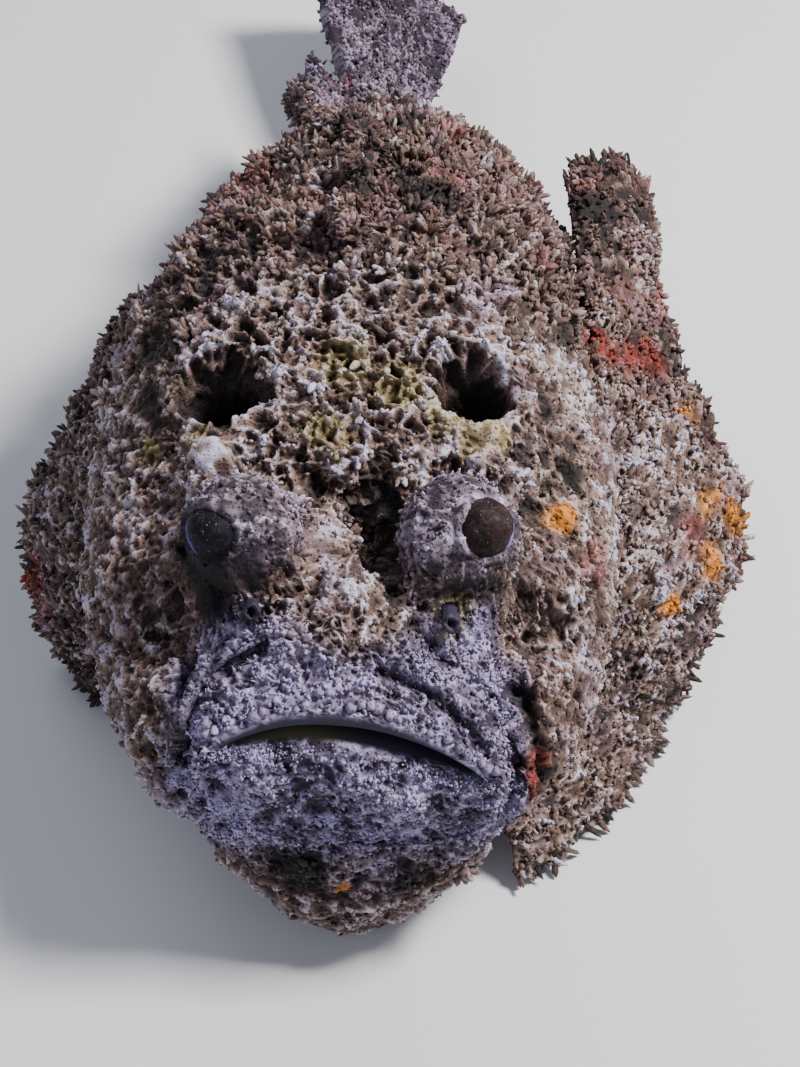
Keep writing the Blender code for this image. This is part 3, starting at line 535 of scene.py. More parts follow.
# Each fold or bulge: its line of places, half width, depth (a height, below nought) and darkness, which is
# painted shade in the fold (below nought, how much paler a bulge is)
folds = [
    # above the lip and down both sides of the mouth
    ([(7.1, 7.7, 81.4), (18.4, 5.7, 76.5), (27.8, 0.4, 70.2), (35.5, -8.4, 60.8)], 1.3, 2.4, 0.8),
    ([(-37.6, 21.9, 69.2), (-38.2, 10.7, 66.3), (-38.5, 0.4, 59.8), (-31.0, -8.6, 57.0)], 2.0, 4.0, 0.9),
    ([(40.1, 15.6, 64.7), (44.3, 8.9, 60.7), (46.4, 0.8, 50.0), (49.4, 4.7, 40.9)], 2.2, 4.0, 0.9),
    ([(-20.3, 14.7, 83.8), (-29.6, 9.9, 79.0)], 1.6, 2.8, 0.9),
    ([(16.5, 20.0, 84.5), (22.5, 12.5, 79.0)], 1.7, 2.8, 0.8),  # beside the nostril
    ([(-8.5, 55.6, 92.0), (-5.0, 54.8, 92.0)], 2.4, 2.6, 0.9),  # between the eyes
    ([(5.0, 56.5, 91.5), (10.0, 54.5, 90.0)], 3.6, 3.4, 1.0),
    ([(9.6, 52.0, 87.9), (11.1, 43.9, 84.0), (10.7, 28.4, 87.9)], 2.2, 3.0, 1.0),
    ([(-6.0, 45.0, 84.0), (-2.0, 36.0, 82.0), (0.0, 27.0, 86.0)], 5.5, -7.0, -0.25),  # the nose's bridge
    ([(-49.0, 80.0, 93.0), (-45.5, 77.0, 94.0)], 3.0, 1.6, 0.7),
    ([(49.3, 83.0, 93.5), (50.5, 81.0, 92.0)], 2.8, 1.8, 0.8),
    ([(54.3, 69.9, 83.3), (56.0, 66.0, 80.0)], 2.4, 1.6, 0.7),
    ([(-33.2, 24.1, 85.2), (-38.4, 30.5, 86.0)], 4.0, 3.4, 1.0),  # under the right eye
    ([(-10.6, 43.9, 94.4), (-2.4, 50.5, 86.0), (5.8, 52.0, 85.5)], 1.3, -1.8, -0.7),  # a pale strand
    ([(10.7, 58.6, 94.6), (21.8, 62.8, 95.1), (36.1, 59.2, 94.6), (41.1, 56.0, 86.8)], 1.3, -1.6, -0.5),
    ([(-33.0, 62.0, 96.0), (-31.0, 64.0, 96.0)], 4.4, -4.6, -0.25),  # the pale knobs behind the eyes
    ([(33.5, 67.0, 95.0), (34.5, 68.0, 95.4)], 3.6, -2.4, -0.3),
    ([(34.2, 67.6, 96.0), (34.4, 67.9, 96.2)], 1.1, -1.6, -0.9),
    ([(-16.0, 14.0, 84.0), (0.0, 11.0, 86.0), (14.0, 13.5, 84.0)], 4.0, -1.6, -0.1),  # the snout
    ([(-4.6, -6.4, 65.9), (11.7, -10.8, 56.1)], 6.0, -1.8, -0.2),  # mounds of the chin
    ([(-23.1, -8.0, 64.2), (-20.0, -9.0, 60.0)], 4.0, -1.6, -0.2),
]
pits = [(-31.0, 80.0, 10.6, 6.6, 8.0), (30.0, 81.0, 8.2, 6.0, 8.0)]  # x, y, half width, half length, depth
# Where the texture dies down: x, y, z, radius and how much of it goes
smoothSpots = [
    (-32.0, 63.5, 96.0, 6.0, 0.65), (34.0, 67.8, 95.4, 6.0, 0.55), (-31.0, 80.0, 90.0, 13.0, 0.75),
    (30.0, 81.0, 92.0, 11.5, 0.75), (-50.0, 84.0, 93.0, 7.0, 0.6), (-14.0, 34.0, 97.0, 6.0, 0.6),
]


def eyeFrame(side):
    # the centre of an eyeball, set out from its place along the way it looks, and that way
    look = unit(np.array(skin["eyeLook"]) * (side, 1, 1))
    return np.array(skin["eyePlace"]) * (side, 1, 1) + look * skin["eyeSet"], look


def raiseKnobs(points):
    # pushes the skin out to a ball round each eye's knob, joined smoothly to the skin outside it
    for side in (-1.0, 1.0):
        centre, look = eyeFrame(side)
        away = points - (centre - look * (skin["eyeSet"] + skin["knobBack"]))
        distance = np.maximum(np.linalg.norm(away, axis=-1), 1e-6)
        gap = distance - skin["knobRadius"]
        wanted = distance + 0.5 * (np.sqrt(gap ** 2 + 2.0) - gap)
        share = (1 - smoothStep(gap, 1.0, 6.0)) * (points[..., 2] > 74.0)
        points = points + away * ((wanted / distance - 1) * share)[..., None]
    return points


def openEyes(points):
    # moves the skin round each eyeball by the angle from the middle of its opening:
    # behind the ball inside the opening, then out to the lid
    for side in (-1.0, 1.0):
        centre, _ = eyeFrame(side)
        away = points - centre
        distance = np.maximum(np.linalg.norm(away, axis=-1), 1e-6)
        middle = unit(np.array(skin["opening"][side]))
        angle = np.degrees(np.arccos(np.clip(away @ middle / distance, -1, 1)))
        ragged = valueNoise(points, 5.0, 90) * 16.0
        tall = 10.0 * (away[..., 1] * 0.75 + away[..., 2] * 0.66) ** 2 / distance ** 2
        lid = skin["eyeRadius"] - 1.4 + 2.6 * smoothStep(angle + ragged - tall, 54.0, 62.0)
        keep = smoothStep(angle, 68.0, 94.0)
        near = (distance < 19.0) & (angle < 94.0)
        wanted = lid * (1 - keep) + np.maximum(distance, skin["eyeRadius"] + 1.0) * keep
        points = np.where(near[..., None], centre + away / distance[..., None] * wanted[..., None], points)
    return points


def lineDistance(points, line):
    # the least distance to the stretches of a line of places
    best = np.full(points.shape[:-1], 1e3)
    for a, b in zip(np.asarray(line[:-1], float), np.asarray(line[1:], float)):
        share = np.clip(((points - a) @ (b - a)) / ((b - a) @ (b - a)), 0, 1)
        best = np.minimum(best, np.linalg.norm(points - (a + share[..., None] * (b - a)), axis=-1))
    return best


def stationsByLength(low, high, rows):
    # ring numbers spaced evenly along the surface, by the mean length of lines along the body
    dense = np.linspace(low, high, 900)
    lines = ringPoint(*np.meshgrid(dense, np.radians([90, 40, 140, -90, 0, 180]), indexing="ij"))
    steps = np.linalg.norm(np.diff(lines, axis=0), axis=-1).mean(axis=1)
    travel = np.concatenate([[0.0], np.cumsum(steps)])
    return np.interp(np.linspace(0, travel[-1], rows), travel, dense)


def texture(places, where, seed):
    # how far the skin stands out, in mm, and how light it is: lumps and granules, which are domes on
    # jittered lattices, a net of raised borders round hollow cells, pores and knots, and strands where
    # a smooth noise passes nought
    drift = np.stack([valueNoise(places, 4.5, seed + k) for k in range(3)], axis=-1)
    near, _, number = cellNoise(places + drift * 1.6, skin["lumpSize"], seed + 3)
    lumps = np.sqrt(np.clip(1 - (near / 0.66) ** 2, 0, 1)) * (0.3 + 0.7 * number)
    near, _, number = cellNoise(places + drift * 1.2, skin["granuleSize"], seed + 4)
    granules = np.sqrt(np.clip(1 - (near / 0.8) ** 2, 0, 1)) * (0.25 + 0.75 * number)
    near, second, number = cellNoise(places + drift * 1.6, skin["netSize"], seed + 5)
    net = 1 - smoothStep(second - near, 0.02, 0.30)
    hollow = (1 - net) * smoothStep(number, 0.25, 0.7)
    near, second, number = cellNoise(places + drift * 0.9, skin["poreSize"], seed + 6)
    strand = 1 - smoothStep(second - near, 0.03, 0.42)
    pore = (1 - strand) * smoothStep(number, 0.35, 0.6)
    knot = (1 - smoothStep(near, 0.12, 0.46)) * (1 - smoothStep(number, 0.2, 0.36))
    lines = np.exp(-(valueNoise(places, 7.0, seed + 8, 2) / 0.07) ** 2)
    lines = np.maximum(lines, np.exp(-(valueNoise(places, 4.0, seed + 9, 2) / 0.08) ** 2))
    rough = valueNoise(places, skin["roughSize"], seed + 7, 4)
    netted = 0.25 + 0.65 * where["crown"]
    strength = (1 - 0.55 * where["face"]) * (1 - 0.7 * where["knob"])
    rise = lumps * skin["lumpHeight"] * (0.35 + 0.65 * where["back"]) * strength
    rise = rise + (granules - 0.5) * skin["granuleHeight"] * (1 - netted) * strength
    rise = rise + (net * skin["netHeight"] - hollow * skin["hollowDepth"]) * netted * strength
    rise = rise + knot * skin["knotHeight"] - pore * skin["poreDepth"] * strength
    rise = rise + lines * skin["strandHeight"]
    rise = rise + rough * skin["roughHeight"] * (1 - 0.5 * where["knob"])
    # the lightness is partly the skin's own pale net, knots and strands and partly painted shade, darker
    # in the hollows and pores
    lit = lightness
    light = lit["ground"] + (lit["lump"] + lit["lump"] * where["back"]) * lumps
    light = light + lit["granule"] * (granules - 0.45) * (1 - netted)
    light = light + (lit["net"] * net - lit["hollow"] * hollow) * netted - lit["pore"] * pore
    light = light + lit["knot"] * knot + lit["strand"] * lines + lit["rough"] * rough
    return rise, np.clip(light, 0, 1)


runs = [  # each piece of skin: name, first and last ring, rows, the nodes it stands for and its slot
    ("skinLips", 0.0, 5.0, 185, ("head", "lower_jaw"), "lower_jaw_skin"),
    ("skinBrow", 5.0, 8.0, 150, ("head", "lower_jaw"), "head_skin"),
    ("skinCrown", 8.0, 10.2, 140, ("head",), "head_skin"),
    ("skinBack", 10.2, 14.5, 165, ("trunk",), "trunk_skin"),
    ("skinRear", 14.5, 19.0, 150, ("trunk", "tail"), "trunk_skin"),
]
stations = np.concatenate([stationsByLength(*run[1:4])[int(k > 0):] for k, run in enumerate(runs)])
turn = np.arange(body["columns"]) / body["columns"] * 2 * math.pi
angles = turn + 0.45 * np.cos(turn)
plainSkin = bodySurface(stations, angles)
softNormals = gridNormals(plainSkin)
sGrid = np.broadcast_to(stations[:, None], plainSkin.shape[:2])
upperLip = np.broadcast_to(smoothStep(np.sin(angles), 0.0, 0.3)[None], sGrid.shape)
lining = 1 - smoothStep(sGrid, 1.9 + 0.28 * upperLip, 2.1 + 0.32 * upperLip)
skinMasks = masks(plainSkin)
calm = smoothStep(sGrid, 2.0 + 0.25 * upperLip, 2.8) * (1 - 0.6 * smoothStep(sGrid, 18.4, 19.0))
calm = calm * smoothStep(plainSkin[..., 2], 1.0, 9.0)
for *spot, radius, amount in smoothSpots:
    calm = calm * (1 - amount * bump(plainSkin, spot, (radius,) * 3, 2.0))
rise, skinToneAndShade = texture(plainSkin, skinMasks, 60)
rise = (rise - skin["inset"]) * calm
for line, halfWidth, depth, shadeAndPallor in folds:
    share = np.exp(-(lineDistance(plainSkin, line) / halfWidth) ** 2)
    rise = rise - share * depth
    # folds darken the skin with painted shade; bulges with darkness below nought are made paler
    skinToneAndShade = skinToneAndShade * (1 - max(shadeAndPallor, 0.0) * share) - min(shadeAndPallor, 0.0) * share * 0.3
skinToneAndShade = np.clip(skinToneAndShade, 0, 1)
skinPoints = plainSkin + softNormals * rise[..., None]
x, y, z = (plainSkin[..., k] for k in range(3))
for pitX, pitY, wide, long, depth in pits:
    # a steep-sided hole, exp(-ellipse ** 6), painted black inside as shade, inside a raised pale rim
    ellipse = np.sqrt(((x - pitX) / wide) ** 2 + ((y - pitY) / long) ** 2)
    hole = np.exp(-ellipse ** 6) * (z > 60)
    rim = np.exp(-((ellipse - 1.32) / 0.17) ** 2) * (z > 70)
    skinPoints[..., 2] += rim * 1.2 - hole * depth
    skinToneAndShade = np.clip(skinToneAndShade * (1 - hole) + 0.26 * rim, 0, 1)
for side in (-1.0, 1.0):
    # a groove round the foot of each eye's knob, darkened with painted shade
    (footX, footY), (wide, long) = knobFoot["place"], knobFoot["radii"]
    ellipse = np.sqrt(((x - side * footX) / wide) ** 2 + ((y - footY) / long) ** 2)
    uneven = 0.6 + 0.4 * valueNoise(plainSkin, 9.0, 95)
    groove = np.exp(-((ellipse - 1.10) / 0.11) ** 2) * (z > 70) * uneven
    skinPoints -= softNormals * (groove * knobFoot["depth"])[..., None]
    skinToneAndShade = skinToneAndShade * (1 - 0.55 * groove)
roughness = skinPoints - plainSkin
smooth = raiseKnobs(plainSkin)
domed = skinMasks["knob"][..., None]
skinPoints = openEyes(raiseKnobs(skinPoints) * (1 - domed) + (smooth + roughness) * domed)
skinPoints[..., 2] = np.maximum(skinPoints[..., 2], 0.0)
skinNormals = gridNormals(skinPoints)
gum = smoothStep(-x, -6.0, 10.0) * (1 - upperLip)
# the height layer is the crust's lightness, with painted shade in its hollows, folds, pits and grooves
layersOfSkin = {"height": skinToneAndShade, "shine": lining, "gum": gum, **skinMasks}
print("skin worked out")


def skinPiece(name, first, last, nodes):
    # a run of rows as quads, with a fan over the end of the mouth or of the tail
    rows, columns = last - first + 1, body["columns"]
    points = skinPoints[first:last + 1].reshape(-1, 3)
    layers = {k: v[first:last + 1].reshape(-1) for k, v in layersOfSkin.items()}
    quads, i, j = ringQuads(rows, columns)
    u = np.stack([j, j, j + 1, j + 1], axis=1) / columns
    v = (np.stack([i, i + 1, i + 1, i], axis=1) + first) / (len(stations) - 1)
    uv = np.stack([u, v], axis=-1).reshape(-1, 2)
    tris, ring = [], np.arange(columns)
    for closed, row, flip in ((first == 0, 0, False), (last == len(stations) - 1, rows - 1, True)):
        if closed:
            middle = points[row * columns + ring].mean(0)
            points = np.vstack([points, middle])
            layers = {n: np.append(v, v[row * columns + ring].mean()) for n, v in layers.items()}
            a, b = row * columns + ring, row * columns + (ring + 1) % columns
            fan = [b, a] if flip else [a, b]
            tris.append(np.stack(fan + [np.full(columns, len(points) - 1)], axis=1))
            turns = ring[:, None] + ([1, 0, 0.5] if flip else [0, 1, 0.5])
            level = np.full((columns, 3), (row + first) / (len(stations) - 1))
            uv = np.vstack([uv, np.stack([turns / columns, level], axis=-1).reshape(-1, 2)])
    piece = makePiece(name, points, quads, np.vstack(tris) if tris else [], skinLook, layers, cornerUv=uv)
    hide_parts(*nodes)


firstRow, rowOf = 0, {}
for name, _, _, rows, nodes, slot in runs:
    lastRow = firstRow + rows - 1
    skinPiece(name, firstRow, lastRow, nodes)
    rowOf[name], firstRow = firstRow, lastRow


# Eyes
def eyeMaterial(name, rimColour, tint):
    # a dark mottled eye with pale specks and veins and a violet crescent at its outer edge, hardly glossy
    made, shader, place = newMaterial(name, 0.6, 0.12)
    shader.inputs["Coat Roughness"].default_value = 0.35
    shader.inputs["Coat Weight"].default_value = 0.05
    mottle, vein = place.noise(330.0, 5.0, 0.75), place.noise(220.0, 2.0)
    veins = 1 - (vein - 0.5).maths("ABSOLUTE").between(0.0, 0.02)
    specks = (1 - place.cells(750.0).between(0.05, 0.22)) * place.noise(500.0).between(0.5, 0.6)
    tone = mottle.between(0.38, 0.66).mix(tuple(c * 0.25 for c in tint), tint)
    tone = (place.layer("edge") + (mottle - 0.5) * 0.5).between(0.56, 0.66).mix(tone, rimColour)
    tone = (specks * 0.6 + veins * mottle * 0.12).mix(tone, (0.40, 0.34, 0.36))
    connect(tone, shader, "Base Color")
    sockets = {"Strength": 0.7, "Distance": 0.0008, "Height": mottle + specks}
    bumps = mottle.add("ShaderNodeBump", {}, sockets)
    connect(bumps, shader, "Normal")
    return made


def eyeBall(side, name, node, material):
    # a ball whose pole is the eye's axis, with the clear front bulging a little
    centre, look = eyeFrame(side)
    first = unit(np.cross(look, (0.0, 0.0, 1.0)))
    second = np.cross(look, first)
    rows, columns = 80, 110
    tilt = np.linspace(0, math.pi, rows + 1)[1:-1]
    roll = np.arange(columns) / columns * 2 * math.pi
    t, r = np.meshgrid(tilt, roll, indexing="ij")
    radius = skin["eyeRadius"] * (1 + 0.05 * np.exp(-(t / 0.55) ** 2)) - 0.1
    out = (look * np.cos(t)[..., None] + (first * np.cos(r)[..., None] + second * np.sin(r)[..., None])
           * np.sin(t)[..., None])
    radius = radius + 0.28 * valueNoise(out * 7.6 + centre, 3.2, 97) * np.sin(t)
    points = (centre + out * radius[..., None]).reshape(-1, 3)
    poles = centre + np.stack([look * (skin["eyeRadius"] * 1.05 - 0.1), -look * (skin["eyeRadius"] - 0.1)])
    quads, _, _ = ringQuads(rows - 1, columns)
    ring = np.arange(columns)
    last = (rows - 2) * columns
    tris = np.concatenate([
        np.stack([ring, (ring + 1) % columns, np.full(columns, len(points))], axis=1),
        np.stack([last + (ring + 1) % columns, last + ring, np.full(columns, len(points) + 1)], axis=1)])
    edge = unit(np.vstack([points, poles]) - centre) @ unit(np.array((side * 0.9, 0.1, -0.55)))
    uv = np.stack([r / (2 * math.pi), t / math.pi], axis=-1).reshape(-1, 2)
    uv = np.concatenate([uv, [[0.5, 0], [0.5, 1]]])
    piece = makePiece(name, np.vstack([points, poles]), quads, tris, material, {"edge": edge}, vertexUv=uv)
    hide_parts(node)


brownEye = eyeMaterial("eyeBrown", (0.26, 0.20, 0.55), (0.026, 0.011, 0.012))
# the right eye: its own dark colour with a blue cast and a blue-violet crescent that are a painted
# reflection
blueReflectionEye = eyeMaterial("eyeBlueReflection", (0.08, 0.06, 0.28), (0.012, 0.009, 0.018))
eyeBall(1.0, "eyeLeft", "eye_left", brownEye)
eyeBall(-1.0, "eyeRight", "eye_right", blueReflectionEye)
print("eyes made")


# Coat: warts, crumbs and tufts set on the skin
shapes = {  # rings of a wart from its root to its tip, as (share of the height, share of the radius)
    "crumb": {"sides": 5, "levels": ((-0.4, 1.0), (0.35, 1.1), (0.8, 0.75))},
    "spike": {"sides": 4, "levels": ((-0.25, 1.3), (0.3, 1.05), (0.8, 0.84))},
    "thread": {"sides": 4, "levels": ((-0.2, 1.2), (0.6, 0.85))},
    "tuft": {"sides": 5, "levels": ((-0.3, 1.3), (0.2, 1.0), (0.55, 0.85), (0.86, 0.6))},
    "knob": {"sides": 9, "levels": ((-0.3, 0.9), (0.15, 1.1), (0.55, 1.05), (0.86, 0.62))},
    "tube": {"sides": 14, "tip": 0.4,
             "levels": ((-0.3, 1.3), (0.3, 1.0), (0.8, 1.02), (1.0, 0.88), (0.9, 0.55), (0.55, 0.5))},
}


def papillae(roots, ways, lies, heights, radii, rng, sides, levels, tip=1.0):
    # each is a tapered tube through rings at shares of its height, leaning towards its lie,
    # closed by a point and a flat foot
    count = len(roots)
    across = unit(np.cross(ways, lies) + 1e-6)
    other = np.cross(ways, across)
    spin = rng.uniform(0, 2 * math.pi, (count, 1)) + np.arange(sides) / sides * 2 * math.pi
    out = across[:, None] * np.cos(spin)[..., None] + other[:, None] * np.sin(spin)[..., None]
    rings = []
    for share, width in levels:
        bend = heights * 0.4 * share * abs(share)
        middle = roots + ways * (heights * share)[:, None] + lies * bend[:, None]
        ragged = rng.uniform(0.70, 1.30, (count, sides, 1))
        rings.append(middle[:, None] + out * (radii * width)[:, None, None] * ragged)
    top = roots + ways * (heights * tip)[:, None] + lies * (heights * 0.4)[:, None]
    points = np.concatenate([np.stack(rings, axis=1).reshape(count, -1, 3), top[:, None]], axis=1)
    each = points.shape[1]
    share = np.concatenate([np.repeat([max(s, 0.0) for s, _ in levels], sides), [1.0]])
    k = np.arange(sides)
    ring = np.stack([k, (k + 1) % sides, sides + (k + 1) % sides, sides + k], axis=1)
    quads = np.concatenate([ring + level * sides for level in range(len(levels) - 1)])
    last = (len(levels) - 1) * sides
    cap = np.stack([last + k, last + (k + 1) % sides, np.full(sides, each - 1)], axis=1)
    foot = np.stack([np.zeros(sides - 2, int), k[2:], k[1:-1]], axis=1)
    shift = np.arange(count)[:, None, None] * each
    return (points.reshape(-1, 3), (quads[None] + shift).reshape(-1, 4),
            (np.concatenate([cap, foot])[None] + shift).reshape(-1, 3), np.tile(share, count), each)


def scatter(points, density, count, rng):
    # picks grid cells with a chance that follows their area and density, then a place inside each
    a = points[1:, :-1] - points[:-1, :-1]
    b = points[:-1, 1:] - points[:-1, :-1]
    area = np.linalg.norm(np.cross(a, b), axis=-1) * np.clip(density[:-1, :-1], 1e-9, None)
    chosen = np.sort(rng.choice(area.size, count, p=(area / area.sum()).ravel()))
    i, j = np.unravel_index(chosen, area.shape)
    return i, j, rng.uniform(0, 1, count), rng.uniform(0, 1, count)


def onGrid(field, i, j, f, g):
    # a field read between its grid points, along the rows by f and across them by g
    f, g = (w.reshape(w.shape + (1,) * (field.ndim - 2)) for w in (f, g))
    near = field[i, j] * (1 - f) + field[i + 1, j] * f
    return near * (1 - g) + (field[i, j + 1] * (1 - f) + field[i + 1, j + 1] * f) * g


def coatPiece(name, shape, roots, ways, lies, heights, radii, layers, uv, rng, lift=0.0):
    # papillae as one piece, paler towards their tips, most a little darker and a few lighter at random as
    # painted glints, each on its own small patch of the UV map
    points, quads, tris, share, each = papillae(roots, ways, lies, heights, radii, rng, **shapes[shape])
    points[:, 2] = np.maximum(points[:, 2], 0.05)
    layers = {k: np.repeat(v, each) for k, v in layers.items()}
    paintedGlint = np.repeat(0.34 * rng.uniform(0, 1, len(roots)) ** 3 - 0.14, each)
    layers["height"] = np.clip(0.70 * layers["height"] + 0.02 + 0.25 * share + paintedGlint + lift, 0, 1)
    spread = np.arange(len(points)) * 2.4
    spread = 0.0014 * np.stack([np.cos(spread), np.sin(spread)], axis=-1)
    uv = np.repeat(uv, each, axis=0) + spread
    piece = makePiece(name, points, quads, tris, coatLook, layers, vertexUv=uv)


def wrap(field):
    # the first column repeated after the last
    return np.concatenate([field, field[:, :1]], axis=1)


def eyeClear(points, reach):
    # nought over the open part of each eye, 1 elsewhere
    clear = np.ones(points.shape[:-1])
    for side in (-1.0, 1.0):
        away = points - eyeFrame(side)[0]
        middle = unit(np.array(skin["opening"][side]))
        angle = np.degrees(np.arccos(np.clip(unit(away) @ middle, -1, 1)))
        clear = clear * (1 - (np.linalg.norm(away, axis=-1) < 14.0) * (angle < reach))
    return clear


wrapped = wrap(skinPoints)
fields = {k: wrap(v) for k, v in layersOfSkin.items()}
fields["shine"] = fields["shine"] * 0
gridShare = wrap(sGrid)
normalField = unit(wrap(softNormals) + 0.5 * wrap(skinNormals))
clear = smoothStep(wrapped[..., 2], 3.0, 8.0) * smoothStep(gridShare - 0.32 * wrap(upperLip), 2.08, 2.2)
clear = clear * eyeClear(wrapped, 74.0)
clear = clear * (1 - smoothStep(gridShare, 18.7, 18.9))
clear = clear * (1 - 0.8 * smoothStep(-wrap(softNormals)[..., 2], 0.3, 0.8))
high = smoothStep(fields["height"], 0.45, 0.75)
face, back, knobs = fields["face"], fields["back"], fields["knob"]
bareSpots = [(-32.0, 63.5, 96.0, 6.5), (31.0, 80.0, 96.0, 11.0), (-31.0, 81.0, 95.0, 12.0)]  # and radius
bare = 1.0
for *spot, radius in bareSpots:
    bare = bare * (1 - np.clip(2.0 * bump(wrapped, spot, (radius,) * 3, 2.0), 0, 0.95))
standing = {  # how thick each kind stands over the skin
    "crumbs": clear * bare * (0.10 + high) * (1 - 0.5 * face) * (1 - 0.4 * back),
    "spikes": clear * bare * (0.06 + high) * (1 - face) * (0.03 + 0.97 * back) * (1 - knobs),
    "threads": clear * (face + 0.5 * knobs) * (0.08 + high),
}
coat = {  # how many there are of each kind, and their sizes in mm
    "crumbs": {"shape": "crumb", "count": 7500, "height": (0.3, 1.1), "radius": (0.25, 0.70),
               "pieces": ("Cheek", "Flank")},
    "spikes": {"shape": "spike", "count": 6500, "height": (0.9, 3.0), "radius": (0.35, 0.85),
               "pieces": ("Head", "Back")},
    "threads": {"shape": "thread", "count": 5200, "height": (0.4, 1.5), "radius": (0.22, 0.62),
                "pieces": ("Face",)},
}
for seed, (kind, settings) in enumerate(coat.items()):
    rng = np.random.default_rng(21 + seed)
    i, j, f, g = scatter(wrapped, standing[kind], settings["count"], rng)
    ways = unit(unit(onGrid(normalField, i, j, f, g)) + rng.normal(0, 0.46, (len(i), 3)))
    lies = unit(rng.normal(0, 1, (len(i), 3)) + (0, 0.4, 0.1))
    size = rng.uniform(0, 1, len(i)) ** 1.7
    low, tall = settings["height"]
    heights, radii = low + (tall - low) * size, rng.uniform(*settings["radius"], len(i))
    layers = {k: onGrid(v, i, j, f, g) for k, v in fields.items()}
    roots = onGrid(wrapped, i, j, f, g)
    uv = np.stack([(j + g) / body["columns"], (i + f) / (len(stations) - 1)], axis=-1)
    names = settings["pieces"]
    for name, part in zip(names, np.array_split(np.arange(len(i)), len(names))):
        slot = "head_skin" if i[part].mean() < rowOf["skinBack"] else "trunk_skin"
        coatPiece(kind + name, settings["shape"], roots[part], ways[part], lies[part], heights[part],
                  radii[part], {k: v[part] for k, v in layers.items()}, uv[part], rng)


tuftSizes = {"count": 640, "many": 6, "tall": (2.6, 5.4), "wide": (0.7, 1.35), "spread": 1.7}


def tufts(count, many, tall, wide, spread):
    # clusters of taller pointed flaps that stand on the lumps and lean outwards
    rng = np.random.default_rng(31)
    density = clear * bare * (1 - face) * (1 - knobs)
    density = density * smoothStep(fields["height"], 0.45, 0.7) * (0.1 + 0.9 * back)
    i, j, f, g = scatter(wrapped, density, count, rng)
    middle = np.repeat(onGrid(wrapped, i, j, f, g), many, axis=0)
    normal = np.repeat(unit(onGrid(normalField, i, j, f, g)), many, axis=0)
    side = rng.normal(0, 1, middle.shape)
    side = side - normal * (side * normal).sum(-1, keepdims=True)
    side = unit(side) * (spread * np.sqrt(rng.uniform(0, 1, len(middle))))[:, None]
    heights = tall[0] + (tall[1] - tall[0]) * np.repeat(rng.uniform(0, 1, count), many)
    heights = heights * rng.uniform(0.6, 1.05, len(middle)) * (1 - 0.12 * np.linalg.norm(side, axis=-1))
    layers = {k: np.repeat(onGrid(v, i, j, f, g), many) for k, v in fields.items()}
    uv = np.stack([(j + g) / body["columns"], (i + f) / (len(stations) - 1)], axis=-1)
    roots, ways, lies = middle + side - normal * 0.6, unit(normal + side * 0.22), unit(side + (0, 0.3, 0))
    coatPiece("tufts", "tuft", roots, ways, lies, heights, rng.uniform(*wide, len(middle)), layers,
              np.repeat(uv, many, axis=0), rng)


tufts(**tuftSizes)


growth = {  # sizes in mm, which way each leans, its seed and how much paler it is
    "lipKnobs": dict(shape="knob", tall=(1.2, 2.4), wide=(0.6, 1.45),
                     way=(0, -0.4, 0.1), seed=41, lift=0.02),
    "lipFringe": dict(shape="spike", tall=(0.8, 1.9), wide=(0.28, 0.45),
                      way=(0, -0.5, 0.3), seed=42, lift=0.05),
    "nostrils": dict(shape="tube", tall=(4.4, 4.6), wide=(2.0, 2.1),
                     way=(0, -0.5, 0.3), seed=43, lift=-0.25),
}


def faceDetails(name, ring, degrees, shape, tall, wide, way, seed, lift):
    # papillae at ring numbers and angles: the upper lip's knobs, the lower lip's threads and the nostrils
    rng = np.random.default_rng(seed)
    ring, degrees = np.broadcast_arrays(np.asarray(ring, float), np.asarray(degrees, float))
    places, normals, _ = surfaceAt(ring, np.radians(degrees))
    ways = unit(normals + way + rng.normal(0, 0.08, places.shape))
    layers = {k: np.full(len(ring), {"height": 0.5, "lilac": 1.0}.get(k, 0.0)) for k in fields}
    row = np.interp(ring, stations, np.linspace(0, 1, len(stations)))
    uv = np.stack([(degrees / 360) % 1, row], axis=-1)
    lies = unit(ways + rng.normal(0, 0.5, ways.shape))
    heights, radii = rng.uniform(*tall, len(ring)), rng.uniform(*wide, len(ring))
    coatPiece(name, shape, places - normals * skin["inset"] * 0.7, ways, lies, heights, radii, layers, uv,
              rng, lift)


knobCount, threadCount = 30, 420
dice = np.random.default_rng(40)
lipTurns = np.linspace(22.0, 158.0, knobCount) + dice.normal(0, 2.0, knobCount)
faceDetails("lipKnobs", 2.5 + dice.uniform(0, 0.8, knobCount), lipTurns, **growth["lipKnobs"])
fringeTurns = dice.uniform(-170.0, -10.0, threadCount)
faceDetails("lipFringe", dice.uniform(2.1, 2.6, threadCount), fringeTurns, **growth["lipFringe"])
faceDetails("nostrils", 5.2, (61.0, 119.0), **growth["nostrils"])
print("coat made")


# Fins
fins = {  # the curve that each fin grows from, and the curve of its rim
    "leftBase": [(26, 24, 7), (42, 44, 16), (58, 60, 36), (63, 78, 54), (61, 92, 70)],
    "rightBase": [(26, 50, 6), (42, 55, 16), (57, 63, 36), (63, 78, 54), (61, 92, 70)],
    "leftRim": [(43, 2, 3), (61, 17, 3), (76, 36, 3), (84, 52, 4), (94, 66, 12), (100, 78, 20),
                (107, 93, 35), (101, 114, 47), (92, 135, 54), (87, 160, 59), (86, 184, 63),
                (84, 202, 69), (72, 207, 71), (62, 199, 70)],
    "rightRim": [(46, 40, 3), (58, 51, 3), (70, 63, 3), (79, 75, 4), (85, 82, 13), (88, 92, 22),
                 (87, 102, 36), (80, 113, 44), (73, 126, 51), (67, 141, 54), (62, 153, 57),
                 (58, 160, 59)],
    "pelvicBase": [(25, 46, 4), (28, 56, 4), (30, 66, 4), (31, 76, 4)],
    "pelvicRim": [(45, 54, 2), (53, 68, 2), (57, 84, 2), (56, 100, 2), (50, 113, 2), (41, 120, 2),
                  (33, 116, 2)],
}


